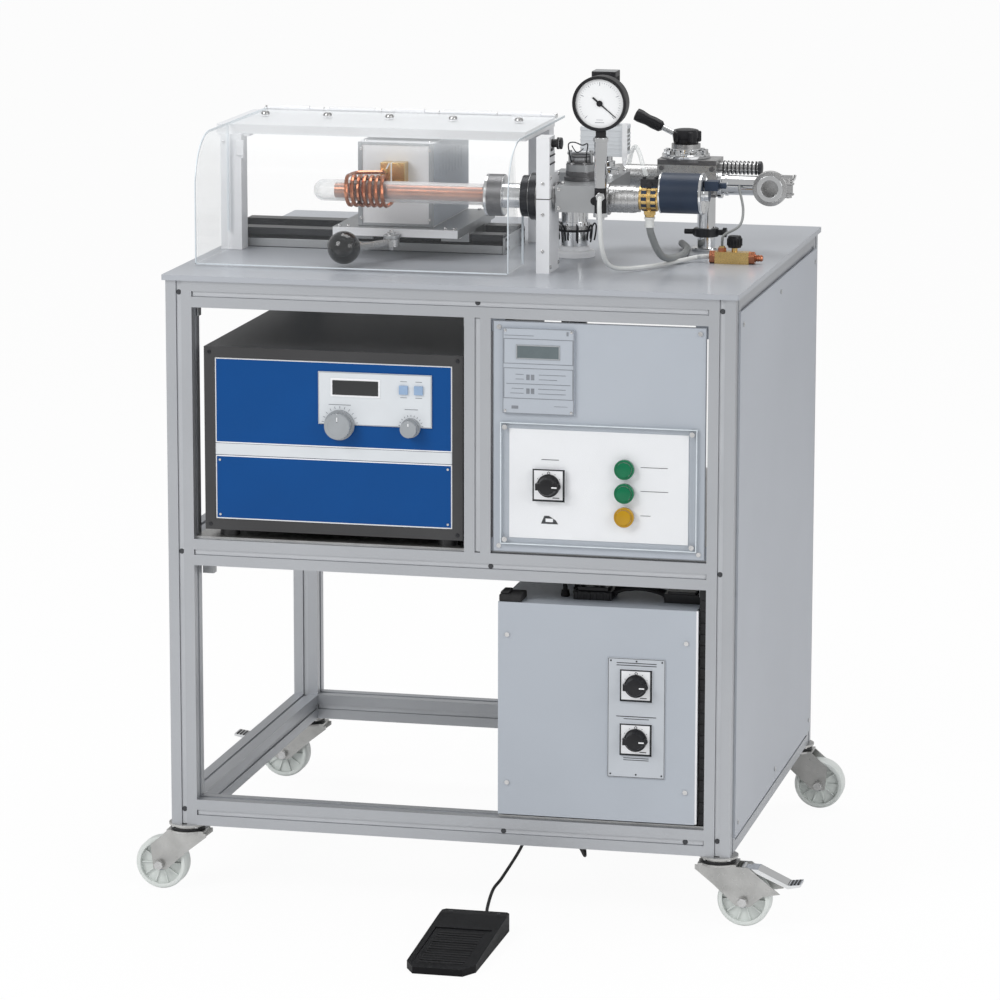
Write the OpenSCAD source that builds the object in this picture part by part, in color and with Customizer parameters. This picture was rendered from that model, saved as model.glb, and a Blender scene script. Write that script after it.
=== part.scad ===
// Induction melting furnace on a profile cart, in millimetres.
// Origin: on the floor, in the middle of the whole outline. +Z up, front towards -Y.

/* [Frame] */
// Width of the cart over the posts
frame_w = 860; // [840:5:900]
// Depth of the cart over the posts
frame_d = 740; // [730:5:780]
// Height of the posts
frame_h = 834; // [830:2:860]
// Side of the square slotted bar
profile = 40; // [40:1:42]
// Opening of a slot
slot_mouth = 8.2; // [7:0.2:9]
// Thickness of the lips beside a slot
slot_lip = 4.5; // [3.5:0.5:5]
// Width of the slot behind its lips
slot_room = 19; // [16:0.5:20]
// Depth of a slot
slot_depth = 12; // [10:0.5:12.5]
// Bore in the core of the bar
core_bore = 6.8; // [5:0.2:8]
// Clear height of the upper bays
upper_bay_h = 351; // [330:1:370]
// Clear width of the right bay
right_bay_w = 324; // [312:1:336]

/* [Table] */
// Thickness of the table top
top_t = 8; // [6:1:12]
// How far the table top stands out past the posts
top_over = 5; // [3:1:10]
// Corner radius of the table top
top_corner = 3; // [1:1:8]
// Hole in the table for the pump line
pump_hole = 48; // [44:2:56]

/* [Sheet parts] */
// Thickness of covers and plates
sheet = 3; // [2:0.5:4]
// Setback of the side panel from the frame's front and rear edges
side_inset = 24; // [18:1:30]
// Height of the side panel's lower edge
side_low = 24; // [18:1:30]
// Distance of the side panel's upper edge below the table
side_drop = 22; // [18:1:30]
// Diameter of a cover screw's head
screw_d = 7; // [6:0.5:9]
// Height of a cover screw's head
screw_h = 2; // [1.5:0.5:4]

/* [Generator] */
// Gap between the left posts and the generator case
gen_left = 16; // [6:1:24]
// Gap between the generator case and the divider post
gen_right = 4; // [2:1:12]
// Free height over the generator case
gen_over = 59; // [40:1:70]
// Depth of the generator case
gen_d = 560; // [500:10:620]
// Setback of the generator's front behind the posts
gen_back = 8; // [4:1:20]
// Sheet of the generator case
gen_wall = 2; // [1.5:0.5:3]
// Width of the case's front border
gen_border = 16; // [12:1:20]
// Depth of the panels behind the border
gen_recess = 4; // [2:0.5:6]
// Height of the upper front panel
gen_upper_h = 129; // [120:1:135]
// Strip between the two front panels
gen_strip = 19; // [14:1:26]
// Height of the generator's feet
gen_foot = 12; // [8:1:16]
// Diameter of the feet
foot_d = 30; // [20:1:40]
// Width of the control field
inset_w = 173; // [165:1:180]
// Height of the control field
inset_h = 79; // [72:1:84]
// Distance of the control field from the panel's right edge
inset_right = 31; // [20:1:40]
// Thickness of the control field
inset_t = 2.5; // [2:0.5:4]
// Diameter of the power knob
power_knob_d = 45; // [40:1:48]
// Diameter of the timer knob
timer_knob_d = 29; // [24:1:32]
// Height of the generator's knobs
gen_knob_h = 18; // [14:1:24]
// Side of a square key
key_side = 13; // [10:1:15]
// How far a key stands out
key_rise = 3; // [2:0.5:4]
// Travel of a key
key_travel = 1.5; // [1:0.1:1.8]

/* [Control panel] */
// Gap between the control panel and the bars around it
panel_gap = 3; // [1:0.5:6]
// Width of the display module
module_w = 107; // [100:1:112]
// Height of the display module
module_h = 127; // [120:1:132]
// How far the display module stands out
module_t = 5; // [3:1:8]
// Distance of the display module below the top rail
module_drop = 12.5; // [8:0.5:18]
// Distance of the display module from the panel's left edge
module_side = 15.5; // [10:0.5:24]
// Distance of the clear cover from the panel's side edges
cover_side = 12; // [8:1:16]
// Distance of the clear cover above the middle rail
cover_low = 16; // [10:1:22]
// Gap between the clear cover and the display module
cover_gap = 13.5; // [8:0.5:20]
// Distance of the label field from the cover's side edges
label_side = 13; // [11:0.5:18]
// Distance of the label field from the cover's upper and lower edges
label_edge = 9.5; // [6:0.5:14]
// Thickness of the clear cover
cover_t = 4; // [3:0.5:6]
// Side of a switch's square plate
switch_side = 48; // [44:1:50]
// Thickness of a switch's plate
switch_plate_t = 3.5; // [2.5:0.5:5]
// Diameter of a switch's turning grip
grip_d = 34; // [30:1:38]
// Height of a switch's turning grip
grip_h = 16; // [12:1:20]
// Bezel diameter of a push button
bezel_d = 29; // [28:1:32]
// Cap diameter of a push button
cap_d = 22.4; // [20:0.2:23]
// Travel of a push button
button_travel = 4; // [3:0.5:6]
// Distance between the push buttons
button_pitch = 35.5; // [34:0.5:38]

/* [Cabinet] */
// Width of the switch cabinet
cab_w = 298; // [290:1:304]
// Free height over the switch cabinet
cab_over = 33; // [26:1:50]
// Gap between the switch cabinet and the right posts
cab_side = 15; // [4:1:20]
// Depth of the switch cabinet
cab_d = 290; // [240:5:300]
// Wall of the cabinet
cab_wall = 1.5; // [1.5:0.5:3]
// Width of the switch label plate
cab_label_w = 86; // [80:1:90]
// Height of the switch label plate
cab_label_h = 181; // [170:1:190]
// Distance between the cabinet's two switches
cab_switch_pitch = 82; // [78:1:88]

/* [Vacuum pump] */
// Width of the pump housing
pump_w = 150; // [140:5:170]
// Height of the pump housing
pump_h = 190; // [180:5:210]
// Length of the oil case
pump_case_l = 120; // [110:5:140]
// Diameter of the motor
motor_d = 130; // [120:5:140]
// Length of the motor
motor_l = 160; // [140:5:180]

/* [Casters] */
// Height from the floor to the posts' feet
caster_h = 105; // [104:1:112]
// Wheel diameter
wheel_d = 80; // [76:1:82]
// Tread width of a wheel
wheel_w = 30; // [26:1:32]
// Offset of the axle from the swivel axis
caster_trail = 40; // [36:1:44]
// Diameter of the axle
axle_d = 8; // [8:0.5:10]
// Diameter of the swivel head
head_d = 58; // [50:1:60]
// Reach of the brake pedal from the swivel axis
brake_reach = 125; // [118:1:130]
// Diameter of the brake pedal's pin
brake_pin_d = 4; // [3:0.5:5]
// Sheet of the fork
fork_t = 2.5; // [2:0.5:3]

/* [Hood] */
// Width of the hood's clear shield
hood_w = 482; // [470:2:490]
// Side of the hood's square posts
hood_post = 33; // [28:1:36]
// Height of the shield's top face above the table
hood_h = 196; // [190:1:205]
// Distance of the shield's front behind the posts' front plane
hood_front = 96; // [90:1:104]
// Distance of the hood's hinge behind the posts' front plane
hood_rear = 492; // [480:2:500]
// Bend radius of the shield
hood_bend = 80; // [60:2:90]
// Thickness of the clear shield
shield_t = 3; // [3:0.5:4]

/* [Coil and tube] */
// Height of the furnace tube's axis above the table
axis_h = 111; // [108:1:116]
// Distance of the tube's axis behind the posts' front plane
axis_y = 172; // [168:1:176]
// Outside diameter of the quartz tube
quartz_d = 32; // [30:1:33]
// Wall of the quartz tube
quartz_wall = 2; // [1.5:0.5:3]
// Length of the quartz tube in front of its flange
quartz_l = 268; // [250:2:280]
// Outside diameter of the copper crucible
crucible_d = 23; // [20:1:24]
// Length of the crucible in front of its flange
crucible_l = 235; // [220:1:240]
// Wall of the crucible
crucible_wall = 2.5; // [2:0.5:3]
// Diameter of the coil's copper pipe
coil_pipe = 6; // [5:0.5:6.5]
// Middle-line radius of the coil
coil_r = 22; // [21:0.5:24]
// Rise of the coil in each loop
coil_pitch = 9.2; // [8.4:0.2:10]
// Number of loops of the coil
coil_loops = 6; // [5:1:7]
// Outside diameter of the tube's first flange
flange_d = 62; // [58:1:66]
// Outside diameter of the second flange
flange2_d = 69; // [64:1:72]

/* [Coil drive] */
// Width of the output box that carries the coil
box_w = 117; // [110:1:124]
// Height of the output box
box_h = 128; // [120:1:132]
// Depth of the output box
box_d = 232; // [220:2:240]
// Width of the carriage
car_w = 196; // [180:2:200]
// Depth of the carriage
car_d = 250; // [240:2:256]
// Thickness of the carriage plate
car_t = 13; // [10:1:15]
// Height of the slide rails
rail_h = 30; // [26:1:32]
// Width of a slide rail
rail_w = 30; // [24:1:34]
// Diameter of the ball knob
ball_d = 50; // [44:1:54]

/* [Vacuum line] */
// Width of the vacuum block
block_w = 73; // [68:1:76]
// Height of the vacuum block
block_h = 40; // [38:1:42]
// Outside diameter of the pipe bends and stubs
pipe_d = 40; // [38:1:40]
// Dial diameter of the vacuum gauge
gauge_d = 80; // [76:1:84]
// Bore of the open flange at the line's end
port_d = 26; // [24:1:28]
// Outside diameter of the open flange
port_flange_d = 40; // [38:1:42]
// Diameter of the standing support rod
rod_d = 27; // [24:1:28]
// Outside diameter of a table hose
hose_d = 7; // [6:0.5:8]

/* [Foot switch] */
// Length of the foot switch
foot_l = 250; // [240:2:256]
// Width of the foot switch
foot_w = 102; // [96:1:106]
// Height of the foot switch at its rear
foot_h = 27; // [25:0.5:32]
// Height of the foot switch at its front
foot_front_h = 10; // [9:0.5:12]
// Distance of its front edge ahead of the posts
foot_reach = 338; // [330:2:350]
// Middle of the foot switch, right of the cart's middle
foot_x = 67; // [60:1:74]
// Diameter of the foot switch's cable
cable_d = 5; // [4.5:0.5:6]
// Inner middle-line radius of the spare cable's coil
spare_r = 22; // [20:1:26]

/* [Hidden] */
gap = 0.3;
run_gap = 0.05;
fine = 64;
mid = 32;
eps = 0.01;
rear_reach = max(top_over, (head_d - profile) / 2);
front_y = (foot_reach - frame_d - rear_reach) / 2;
table_z = frame_h + top_t;
mid_rail_z = frame_h - upper_bay_h - 2 * profile;
mid_top = mid_rail_z + profile;
bay_l = -frame_w / 2 + profile;
bay_r = frame_w / 2 - profile;
div_r = bay_r - right_bay_w;
div_l = div_r - profile;
axis_z = table_z + axis_h;
stand_x = 103;
stand_w = 20;
stand_d = 68;
block_x = 129;
block_y = 150;
block_l = 202;
pump_line_x = 121;
pump_line_y = 330;
steel = [0.72, 0.73, 0.75];
alu = [0.78, 0.79, 0.8];
grey = [0.62, 0.64, 0.67];
pale = [0.9, 0.9, 0.9];
black = [0.06, 0.06, 0.07];
copper = [0.75, 0.42, 0.27];
clear = [0.85, 0.92, 0.95, 0.3];

// Places everything that is measured from the posts' front plane and feet.
module cart() translate([0, front_y, caster_h]) children();

module rod_x(d, l) rotate([0, 90, 0]) cylinder(d = d, h = l, $fn = mid);
module rod_y(d, l) rotate([-90, 0, 0]) cylinder(d = d, h = l, $fn = mid);
module rod_z(d, l) cylinder(d = d, h = l, $fn = mid);
module disc_y(d, l) rotate([90, 0, 0]) cylinder(d = d, h = l, $fn = fine);
module pipe_z(d, bore, l) difference() {
  cylinder(d = d, h = l, $fn = fine);
  translate([0, 0, -l]) cylinder(d = bore, h = 3 * l, $fn = fine);
}

module slot_2d() {
  translate([profile / 2 - slot_lip * 2, -slot_mouth / 2]) square([slot_lip * 3, slot_mouth]);
  polygon([
    [profile / 2 - slot_lip, slot_room / 2],
    [profile / 2 - slot_lip, -slot_room / 2],
    [profile / 2 - slot_lip * 1.6, -slot_room / 2],
    [profile / 2 - slot_depth, -slot_mouth / 2],
    [profile / 2 - slot_depth, slot_mouth / 2],
    [profile / 2 - slot_lip * 1.6, slot_room / 2]
  ]);
}

module profile_2d() difference() {
  square(profile, center = true);
  for (a = [0:90:270]) rotate(a) slot_2d();
  circle(d = core_bore, $fn = mid);
}

module bar_z(l) translate([profile / 2, profile / 2]) linear_extrude(l) profile_2d();
module bar_x(l) translate([0, profile / 2, profile / 2]) rotate([90, 0, 90])
  linear_extrude(l) profile_2d();
module bar_y(l) translate([profile / 2, l, profile / 2]) rotate([90, 0, 0])
  linear_extrude(l) profile_2d();

module frame_uprights() color(alu) cart() {
  for (x = [-frame_w / 2, bay_r], y = [0, frame_d - profile]) translate([x, y]) bar_z(frame_h);
  translate([div_l, 0, mid_top]) bar_z(frame_h - profile - mid_top);
}

module frame_rails() color(alu) cart() {
  for (z = [0, mid_rail_z, frame_h - profile]) {
    for (y = [0, frame_d - profile]) translate([bay_l, y, z]) bar_x(frame_w - 2 * profile);
    for (x = [-frame_w / 2, bay_r]) translate([x, profile, z]) bar_y(frame_d - 2 * profile);
  }
}

module table_top() color(grey) cart() translate([0, 0, frame_h]) linear_extrude(top_t) difference() {
  translate([0, frame_d / 2]) square([frame_w + 2 * top_over, frame_d + 2 * top_over], center = true);
  translate([pump_line_x, pump_line_y]) circle(d = pump_hole, $fn = fine);
  for (m = [0, 1]) mirror([m, 0]) for (y = [-top_over, frame_d + top_over])
    translate([frame_w / 2 + top_over, y]) rotate(45) square(top_corner, center = true);
}

module side_panel() color(pale) cart() translate([frame_w / 2, side_inset, side_low])
  cube([sheet, frame_d - 2 * side_inset, frame_h - side_low - side_drop]);

module shelf_plates() color(alu) cart() {
  translate([0, 0, mid_top]) linear_extrude(sheet) difference() {
    translate([bay_l, profile / 4]) square([bay_r - bay_l, frame_d - profile / 2]);
    translate([div_l - gap, 0]) square([profile + 2 * gap, profile + gap]);
    translate([pump_line_x, pump_line_y]) circle(d = pump_hole, $fn = fine);
  }
  translate([cab_x - cab_w / 2, profile / 4, profile]) cube([bay_r - cab_x + cab_w / 2, frame_d - profile / 2, sheet]);
  translate([gland_x, gland_y, profile - gland_l]) rod_z(gland_d, gland_l);
}

gen_y = gen_back;
gen_z = mid_top + sheet + gen_foot;
gen_l = bay_l + gen_left;
gen_w = div_l - gen_right - gen_l;
gen_h = upper_bay_h - sheet - gen_foot - gen_over;
gen_x = gen_l + gen_w / 2;
gen_in_w = gen_w - 2 * gen_border;
gen_lower_h = gen_h - 2 * gen_border - gen_upper_h - gen_strip;
inset_mid_x = gen_l + gen_w - gen_border - inset_right - inset_w / 2;
inset_mid_z = gen_z + gen_h - gen_border - gen_upper_h / 2 + 10;
panel_y = gen_y + gen_recess - gen_wall;
inset_y = panel_y - inset_t;
knob_z = inset_mid_z - inset_h / 2;
power_x = inset_mid_x - 53.5;
timer_x = inset_mid_x + 55;
key_x = [44, 67];
key_dz = 16.5;

module generator_case() color(steel) cart() {
  translate([gen_l, gen_y, gen_z]) difference() {
    cube([gen_w, gen_d, gen_h]);
    translate([gen_border, -gen_recess, gen_border]) cube([gen_in_w, 2 * gen_recess, gen_h - 2 * gen_border]);
    translate([gen_wall, gen_recess + gen_wall, gen_wall])
      cube([gen_w - 2 * gen_wall, gen_d - gen_recess - 2 * gen_wall, gen_h - 2 * gen_wall]);
  }
  for (x = [gen_l + foot_d, gen_l + gen_w - foot_d], y = [gen_y + foot_d, gen_y + gen_d - foot_d])
    translate([x, y, gen_z - gen_foot]) rod_z(foot_d, gen_foot);
}

module generator_panels() color([0, 0.3, 0.55]) cart() {
  translate([gen_x - gen_in_w / 2 + gap, panel_y, gen_z + gen_h - gen_border - gen_upper_h - gap])
    cube([gen_in_w - 2 * gap, gen_wall, gen_upper_h]);
  translate([gen_x - gen_in_w / 2 + gap, panel_y, gen_z + gen_border + gap])
    cube([gen_in_w - 2 * gap, gen_wall, gen_lower_h]);
}

module control_inset() color(pale) cart() difference() {
  translate([inset_mid_x - inset_w / 2, inset_y, inset_mid_z - inset_h / 2]) cube([inset_w, inset_t, inset_h]);
  for (x = key_x) translate([inset_mid_x + x, inset_y, inset_mid_z + key_dz])
    cube([key_side + 2 * run_gap, inset_t * 3, key_side + 2 * run_gap], center = true);
}

module turn_knob(d) {
  translate([0, -gap, 0]) disc_y(d, gen_knob_h / 3);
  difference() {
    translate([0, -gap, 0]) disc_y(d * 0.86, gen_knob_h);
    translate([-d / 40, -gen_knob_h * 1.5, d * 0.14]) cube([d / 20, gen_knob_h, d]);
  }
}
module power_knob() color(grey) cart() translate([power_x, inset_y, knob_z]) turn_knob(power_knob_d);
module timer_knob() color(grey) cart() translate([timer_x, inset_y, knob_z]) turn_knob(timer_knob_d);

module key(x) color([0.4, 0.55, 0.75]) cart() translate([inset_mid_x + x - key_side / 2,
  inset_y - key_rise, inset_mid_z + key_dz - key_side / 2])
  cube([key_side, key_rise + inset_t - key_travel - gap, key_side]);
module left_key() key(key_x[0]);
module right_key() key(key_x[1]);

panel_w = bay_r - div_r - 2 * panel_gap;
panel_h = frame_h - profile - mid_top - 2 * panel_gap;
panel_front = sheet;
module_x = div_r + panel_gap + module_side + module_w / 2;
module_z = frame_h - profile - module_drop - module_h / 2;
cover_w = panel_w - 2 * cover_side;
cover_h = upper_bay_h - cover_low - cover_gap - module_h - module_drop;
label_w = cover_w - 2 * label_side;
label_h = cover_h - 2 * label_edge;
label_x = (div_r + bay_r) / 2;
label_z = mid_top + cover_low + cover_h / 2;
label_t = 1.5;
cover_y = panel_front - label_t - gap - cover_t;
bracket = 20;
module control_panel() color(grey) cart() {
  translate([div_r + panel_gap, panel_front, mid_top + panel_gap]) cube([panel_w, sheet, panel_h]);
  for (x = [div_r, bay_r - bracket], z = [mid_top + sheet, frame_h - profile - bracket])
    translate([x, panel_front + sheet, z]) cube([bracket, sheet, bracket]);
  translate([module_x - module_w / 2, panel_front - module_t, module_z - module_h / 2])
    cube([module_w, module_t, module_h]);
}

cab_x = bay_r - cab_side - cab_w / 2;
cab_z = profile + sheet + sheet + gap;
cab_h = mid_rail_z - cab_z - cab_over;
cab_label_right = 61;
cab_label_drop = 4;
cab_y = sheet;
cab_label_x = cab_x + cab_label_right;
cab_label_z = cab_z + cab_h / 2 - cab_label_drop;
cab_label_y = cab_y - label_t;
cab_top_switch = cab_label_z + switch_side + label_t + sheet / 6;
module label_plates() color(pale) cart() {
  translate([label_x - label_w / 2, panel_front - label_t, label_z - label_h / 2])
    cube([label_w, label_t, label_h]);
  translate([cab_label_x - cab_label_w / 2, cab_label_y, cab_label_z - cab_label_h / 2])
    cube([cab_label_w, label_t, cab_label_h]);
}

module clear_cover() color(clear) cart() translate([label_x, cover_y + cover_t, label_z]) rotate([90, 0, 0])
  linear_extrude(cover_t) difference() {
    square([cover_w, cover_h], center = true);
    for (x = [-1, 1], z = [-1, 1]) translate([x * (cover_w / 2 - screw_d), z * (cover_h / 2 - screw_d)])
      circle(d = screw_d * 0.7, $fn = mid);
  }

module corner_screws(x, y, z, w, h, inset, d = screw_d, l = screw_h)
  for (a = [-1, 1], b = [-1, 1]) translate([x + a * (w / 2 - inset), y, z + b * (h / 2 - inset)]) disc_y(d, l);
module cover_screws() color(steel) cart() {
  corner_screws((div_r + bay_r) / 2, panel_front, (mid_top + frame_h - profile) / 2, panel_w, panel_h, screw_d * 1.3);
  corner_screws(label_x, cover_y, label_z, cover_w, cover_h, screw_d, screw_d * 1.1, screw_h);
  corner_screws(label_x, panel_front, label_z, cover_w, cover_h, screw_d, screw_d * 0.6, panel_front - cover_y);
  corner_screws(cab_x, cab_y, cab_z + cab_h / 2, cab_w, cab_h - 70, 14);
  corner_screws(gen_x, panel_y, gen_z + gen_border + gen_lower_h / 2, gen_in_w, gen_lower_h, screw_d, screw_d / 2, screw_h / 2);
  for (y = [side_inset + bracket, frame_d / 2, frame_d - side_inset - bracket],
       z = [side_low + bracket, frame_h - side_drop - bracket])
    translate([frame_w / 2 + sheet, y, z]) rod_x(screw_d, screw_h);
}

main_left = 73;
button_right = 40;
button_drop = 7;
main_x = label_x - main_left;
button_x = label_x + button_right;
module switch_plate(x, y, z) translate([x - switch_side / 2, y - switch_plate_t, z - switch_side / 2])
  cube([switch_side, switch_plate_t, switch_side]);
bezel_h = button_travel * 1.6;
module bezel(z) translate([button_x, cover_y, z]) rotate([90, 0, 0])
  pipe_z(bezel_d, cap_d + 2 * run_gap, bezel_h);
module switch_plates() color(pale) cart() {
  switch_plate(main_x, cover_y, label_z);
  for (z = [0, cab_switch_pitch]) switch_plate(cab_label_x, cab_label_y, cab_top_switch - z);
  for (k = [-1:1]) bezel(label_z - button_drop + k * button_pitch);
}

module grip(x, y, z) color(black) cart() translate([x, y - switch_plate_t - gap, z]) {
  disc_y(grip_d, grip_h / 4);
  translate([-grip_d / 2, -grip_h, -grip_d / 7]) cube([grip_d, grip_h, grip_d / 3.5]);
}
module main_switch() grip(main_x, cover_y, label_z);
module upper_switch() grip(cab_label_x, cab_label_y, cab_top_switch);
module lower_switch() grip(cab_label_x, cab_label_y, cab_top_switch - cab_switch_pitch);

module push_button(k, c) color(c) cart() translate([button_x, cover_y - button_travel - gap, label_z - button_drop + k * button_pitch])
  disc_y(cap_d, bezel_h - button_travel / 2);
module top_button() push_button(1, [0.05, 0.5, 0.3]);
module middle_button() push_button(0, [0.05, 0.5, 0.3]);
module low_button() push_button(-1, [0.95, 0.75, 0.15]);

module switch_cabinet() color(grey) cart() {
  translate([cab_x - cab_w / 2, cab_y + sheet, cab_z]) difference() {
    cube([cab_w, cab_d, cab_h]);
    translate([cab_wall, -cab_wall, cab_wall])
      cube([cab_w - 2 * cab_wall, cab_d, cab_h - 2 * cab_wall]);
  }
  translate([cab_x - cab_w / 2, cab_y, cab_z]) cube([cab_w, sheet, cab_h]);
  for (x = [cab_x - cab_w / 2 + foot_d, cab_x + cab_w / 2 - foot_d], y = [cab_y + foot_d, cab_y + cab_d - foot_d])
    translate([x, y, profile + sheet]) rod_z(foot_d, cab_z - profile - sheet);
}

pump_z = profile + sheet;
pump_y = cab_y + cab_d + 12;
pump_mid_y = pump_y + pump_case_l;
module vacuum_pump() color([0.25, 0.27, 0.3]) cart() {
  translate([pump_line_x - pipe_d, pump_y, pump_z]) cube([pump_w, pump_case_l, pump_h]);
  translate([pump_line_x - pipe_d + pump_w / 2, pump_mid_y, pump_z + motor_d / 2]) {
    rod_y(motor_d, motor_l);
    translate([-motor_d / 4, motor_l / 4, 0]) cube([motor_d / 2, motor_l / 2, motor_d * 0.7]);
    translate([-motor_d / 3, motor_l / 4, -motor_d / 2]) cube([motor_d / 1.5, motor_l / 2, motor_d / 3]);
  }
  translate([pump_line_x + pipe_d * 1.6, pump_y + pump_case_l / 2, pump_z + pump_h]) rod_z(pipe_d * 1.2, pipe_d);
}

head_h = 10;
axle_z = wheel_d / 2 - caster_h;
crown_z = -head_h - gap - sheet;
cheek_in = wheel_w / 2 + 2;
caster_x = frame_w / 2 - profile / 2;
caster_ys = [profile / 2, frame_d - profile / 2];
brake_hub_d = brake_pin_d * 2.2;
brake_x = head_d / 2 + 9;
brake_z = crown_z - brake_hub_d / 2 - gap;
module at_caster(side, row) cart() translate([side * caster_x, caster_ys[row], 0])
  rotate(side > 0 ? 0 : 180) children();

module caster_heads() color(steel) for (s = [-1, 1], r = [0, 1]) at_caster(s, r) {
  translate([0, 0, -sheet]) rod_z(head_d, sheet);
  translate([0, 0, -head_h]) rod_z(head_d * 0.8, head_h);
}

module cheek_2d(wing) polygon(concat(
  [[-head_d * 0.57, crown_z]],
  wing ? [[brake_x + brake_hub_d, crown_z], [brake_reach * 0.76, axle_z + wheel_w * 0.45], [caster_trail + wheel_w, axle_z + wheel_w * 0.3]]
       : [[head_d * 0.5, crown_z], [caster_trail + head_d / 4, axle_z + wheel_w]],
  [[caster_trail + axle_d * 1.3, axle_z - axle_d], [caster_trail - axle_d * 1.3, axle_z - axle_d],
   [-head_d * 0.1, axle_z + wheel_w * 0.8], [-head_d * 0.57, crown_z - sheet * 2]]));
module fork(side, row, wing) color(steel) at_caster(side, row) {
  translate([0, 0, crown_z]) linear_extrude(sheet) {
    circle(d = head_d, $fn = fine);
    translate([-head_d / 2, -cheek_in - fork_t]) square([head_d, 2 * (cheek_in + fork_t)]);
  }
  for (m = [0, 1]) mirror([0, m, 0]) {
    translate([0, cheek_in + fork_t, 0]) rotate([90, 0, 0]) linear_extrude(fork_t) cheek_2d(wing);
    translate([caster_trail, cheek_in + fork_t, axle_z]) rod_y(axle_d * 1.8, axle_d * 0.6);
  }
  translate([caster_trail, -cheek_in - fork_t, axle_z]) rod_y(axle_d, 2 * (cheek_in + fork_t));
  if (wing) translate([brake_x, -cheek_in - fork_t - gap, brake_z]) rod_y(brake_pin_d, 2 * (cheek_in + fork_t + gap));
}
module fork_front_left() fork(-1, 0, false);
module fork_front_right() fork(1, 0, true);
module fork_rear_left() fork(-1, 1, true);
module fork_rear_right() fork(1, 1, false);

module caster_wheel(side, row) color(pale) at_caster(side, row) translate([caster_trail, 0, axle_z])
  rotate([90, 0, 0]) rotate_extrude($fn = fine) polygon([
    [axle_d / 2 + run_gap, -wheel_w / 2 - 1], [axle_d * 1.4, -wheel_w / 2 - 1], [axle_d * 1.5, -wheel_w / 4],
    [wheel_d / 2 - wheel_w / 4, -wheel_w / 4], [wheel_d / 2 - wheel_w / 4, -wheel_w / 2],
    [wheel_d / 2 - wheel_w / 12, -wheel_w / 2], [wheel_d / 2, -wheel_w / 3], [wheel_d / 2, wheel_w / 3],
    [wheel_d / 2 - wheel_w / 12, wheel_w / 2], [wheel_d / 2 - wheel_w / 4, wheel_w / 2],
    [wheel_d / 2 - wheel_w / 4, wheel_w / 4], [axle_d * 1.5, wheel_w / 4],
    [axle_d * 1.4, wheel_w / 2 + 1], [axle_d / 2 + run_gap, wheel_w / 2 + 1]]);
module wheel_front_left() caster_wheel(-1, 0);
module wheel_front_right() caster_wheel(1, 0);
module wheel_rear_left() caster_wheel(-1, 1);
module wheel_rear_right() caster_wheel(1, 1);

module brake(side, row) color(steel) at_caster(side, row) rotate([90, 0, 0])
  translate([0, 0, -cheek_in + gap]) linear_extrude(2 * cheek_in - 2 * gap) difference() {
    union() {
      polygon([
        [brake_x, brake_z + sheet], [brake_x + head_d * 0.4, brake_z + sheet * 0.6],
        [brake_reach * 0.86, brake_z - head_d * 0.34], [brake_reach, brake_z - head_d * 0.3],
        [brake_reach, brake_z - head_d * 0.36], [brake_reach * 0.85, brake_z - head_d * 0.43],
        [brake_x + head_d * 0.35, brake_z - sheet * 1.3], [brake_x, brake_z - sheet]]);
      translate([brake_x, brake_z]) circle(d = brake_hub_d, $fn = mid);
    }
    translate([brake_x, brake_z]) circle(d = brake_pin_d + 2 * run_gap, $fn = mid);
  }
module brake_front_right() brake(1, 0);
module brake_rear_left() brake(-1, 1);

hood_left = -412;
hood_right = hood_left + hood_w;
hood_top = table_z + hood_h;
beam_t = 14;
beam_top = hood_top - shield_t - gap;
beam_l = -432;
beam_r = 54;
beam_front = 285;
post_l = -424;
rear_post_x = 20;
rear_post_y = 457;
pin_d = 6;
pin_y = hood_rear + pin_d;
pin_z = hood_top - shield_t / 2;
knuckle_d = pin_d * 1.7;
knuckles = 5;
knuckle_l = (beam_r - hood_left) / knuckles;
stand_top = axis_z + 36;
neck_d = 35.4;

module hood_frame() color(pale) cart() {
  translate([post_l, beam_front - 8, table_z]) cube([hood_post, hood_post, beam_top - beam_t - table_z]);
  translate([rear_post_x, rear_post_y, table_z]) cube([hood_post, hood_post, beam_top - beam_t - table_z]);
  translate([beam_l, beam_front, beam_top - beam_t]) cube([beam_r - beam_l, hood_rear - beam_front, beam_t]);
  translate([hood_left, pin_y, pin_z]) rod_x(pin_d, beam_r - hood_left);
  for (k = [0:2:knuckles - 1]) translate([hood_left + (k + 0.25) * knuckle_l, hood_rear, beam_top - beam_t]) {
    translate([0, 0, beam_t - knuckle_d]) cube([knuckle_l / 2, pin_y - hood_rear, knuckle_d * 0.7]);
    translate([0, pin_y - hood_rear, pin_z - beam_top + beam_t]) rod_x(knuckle_d, knuckle_l / 2);
  }
}

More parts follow.
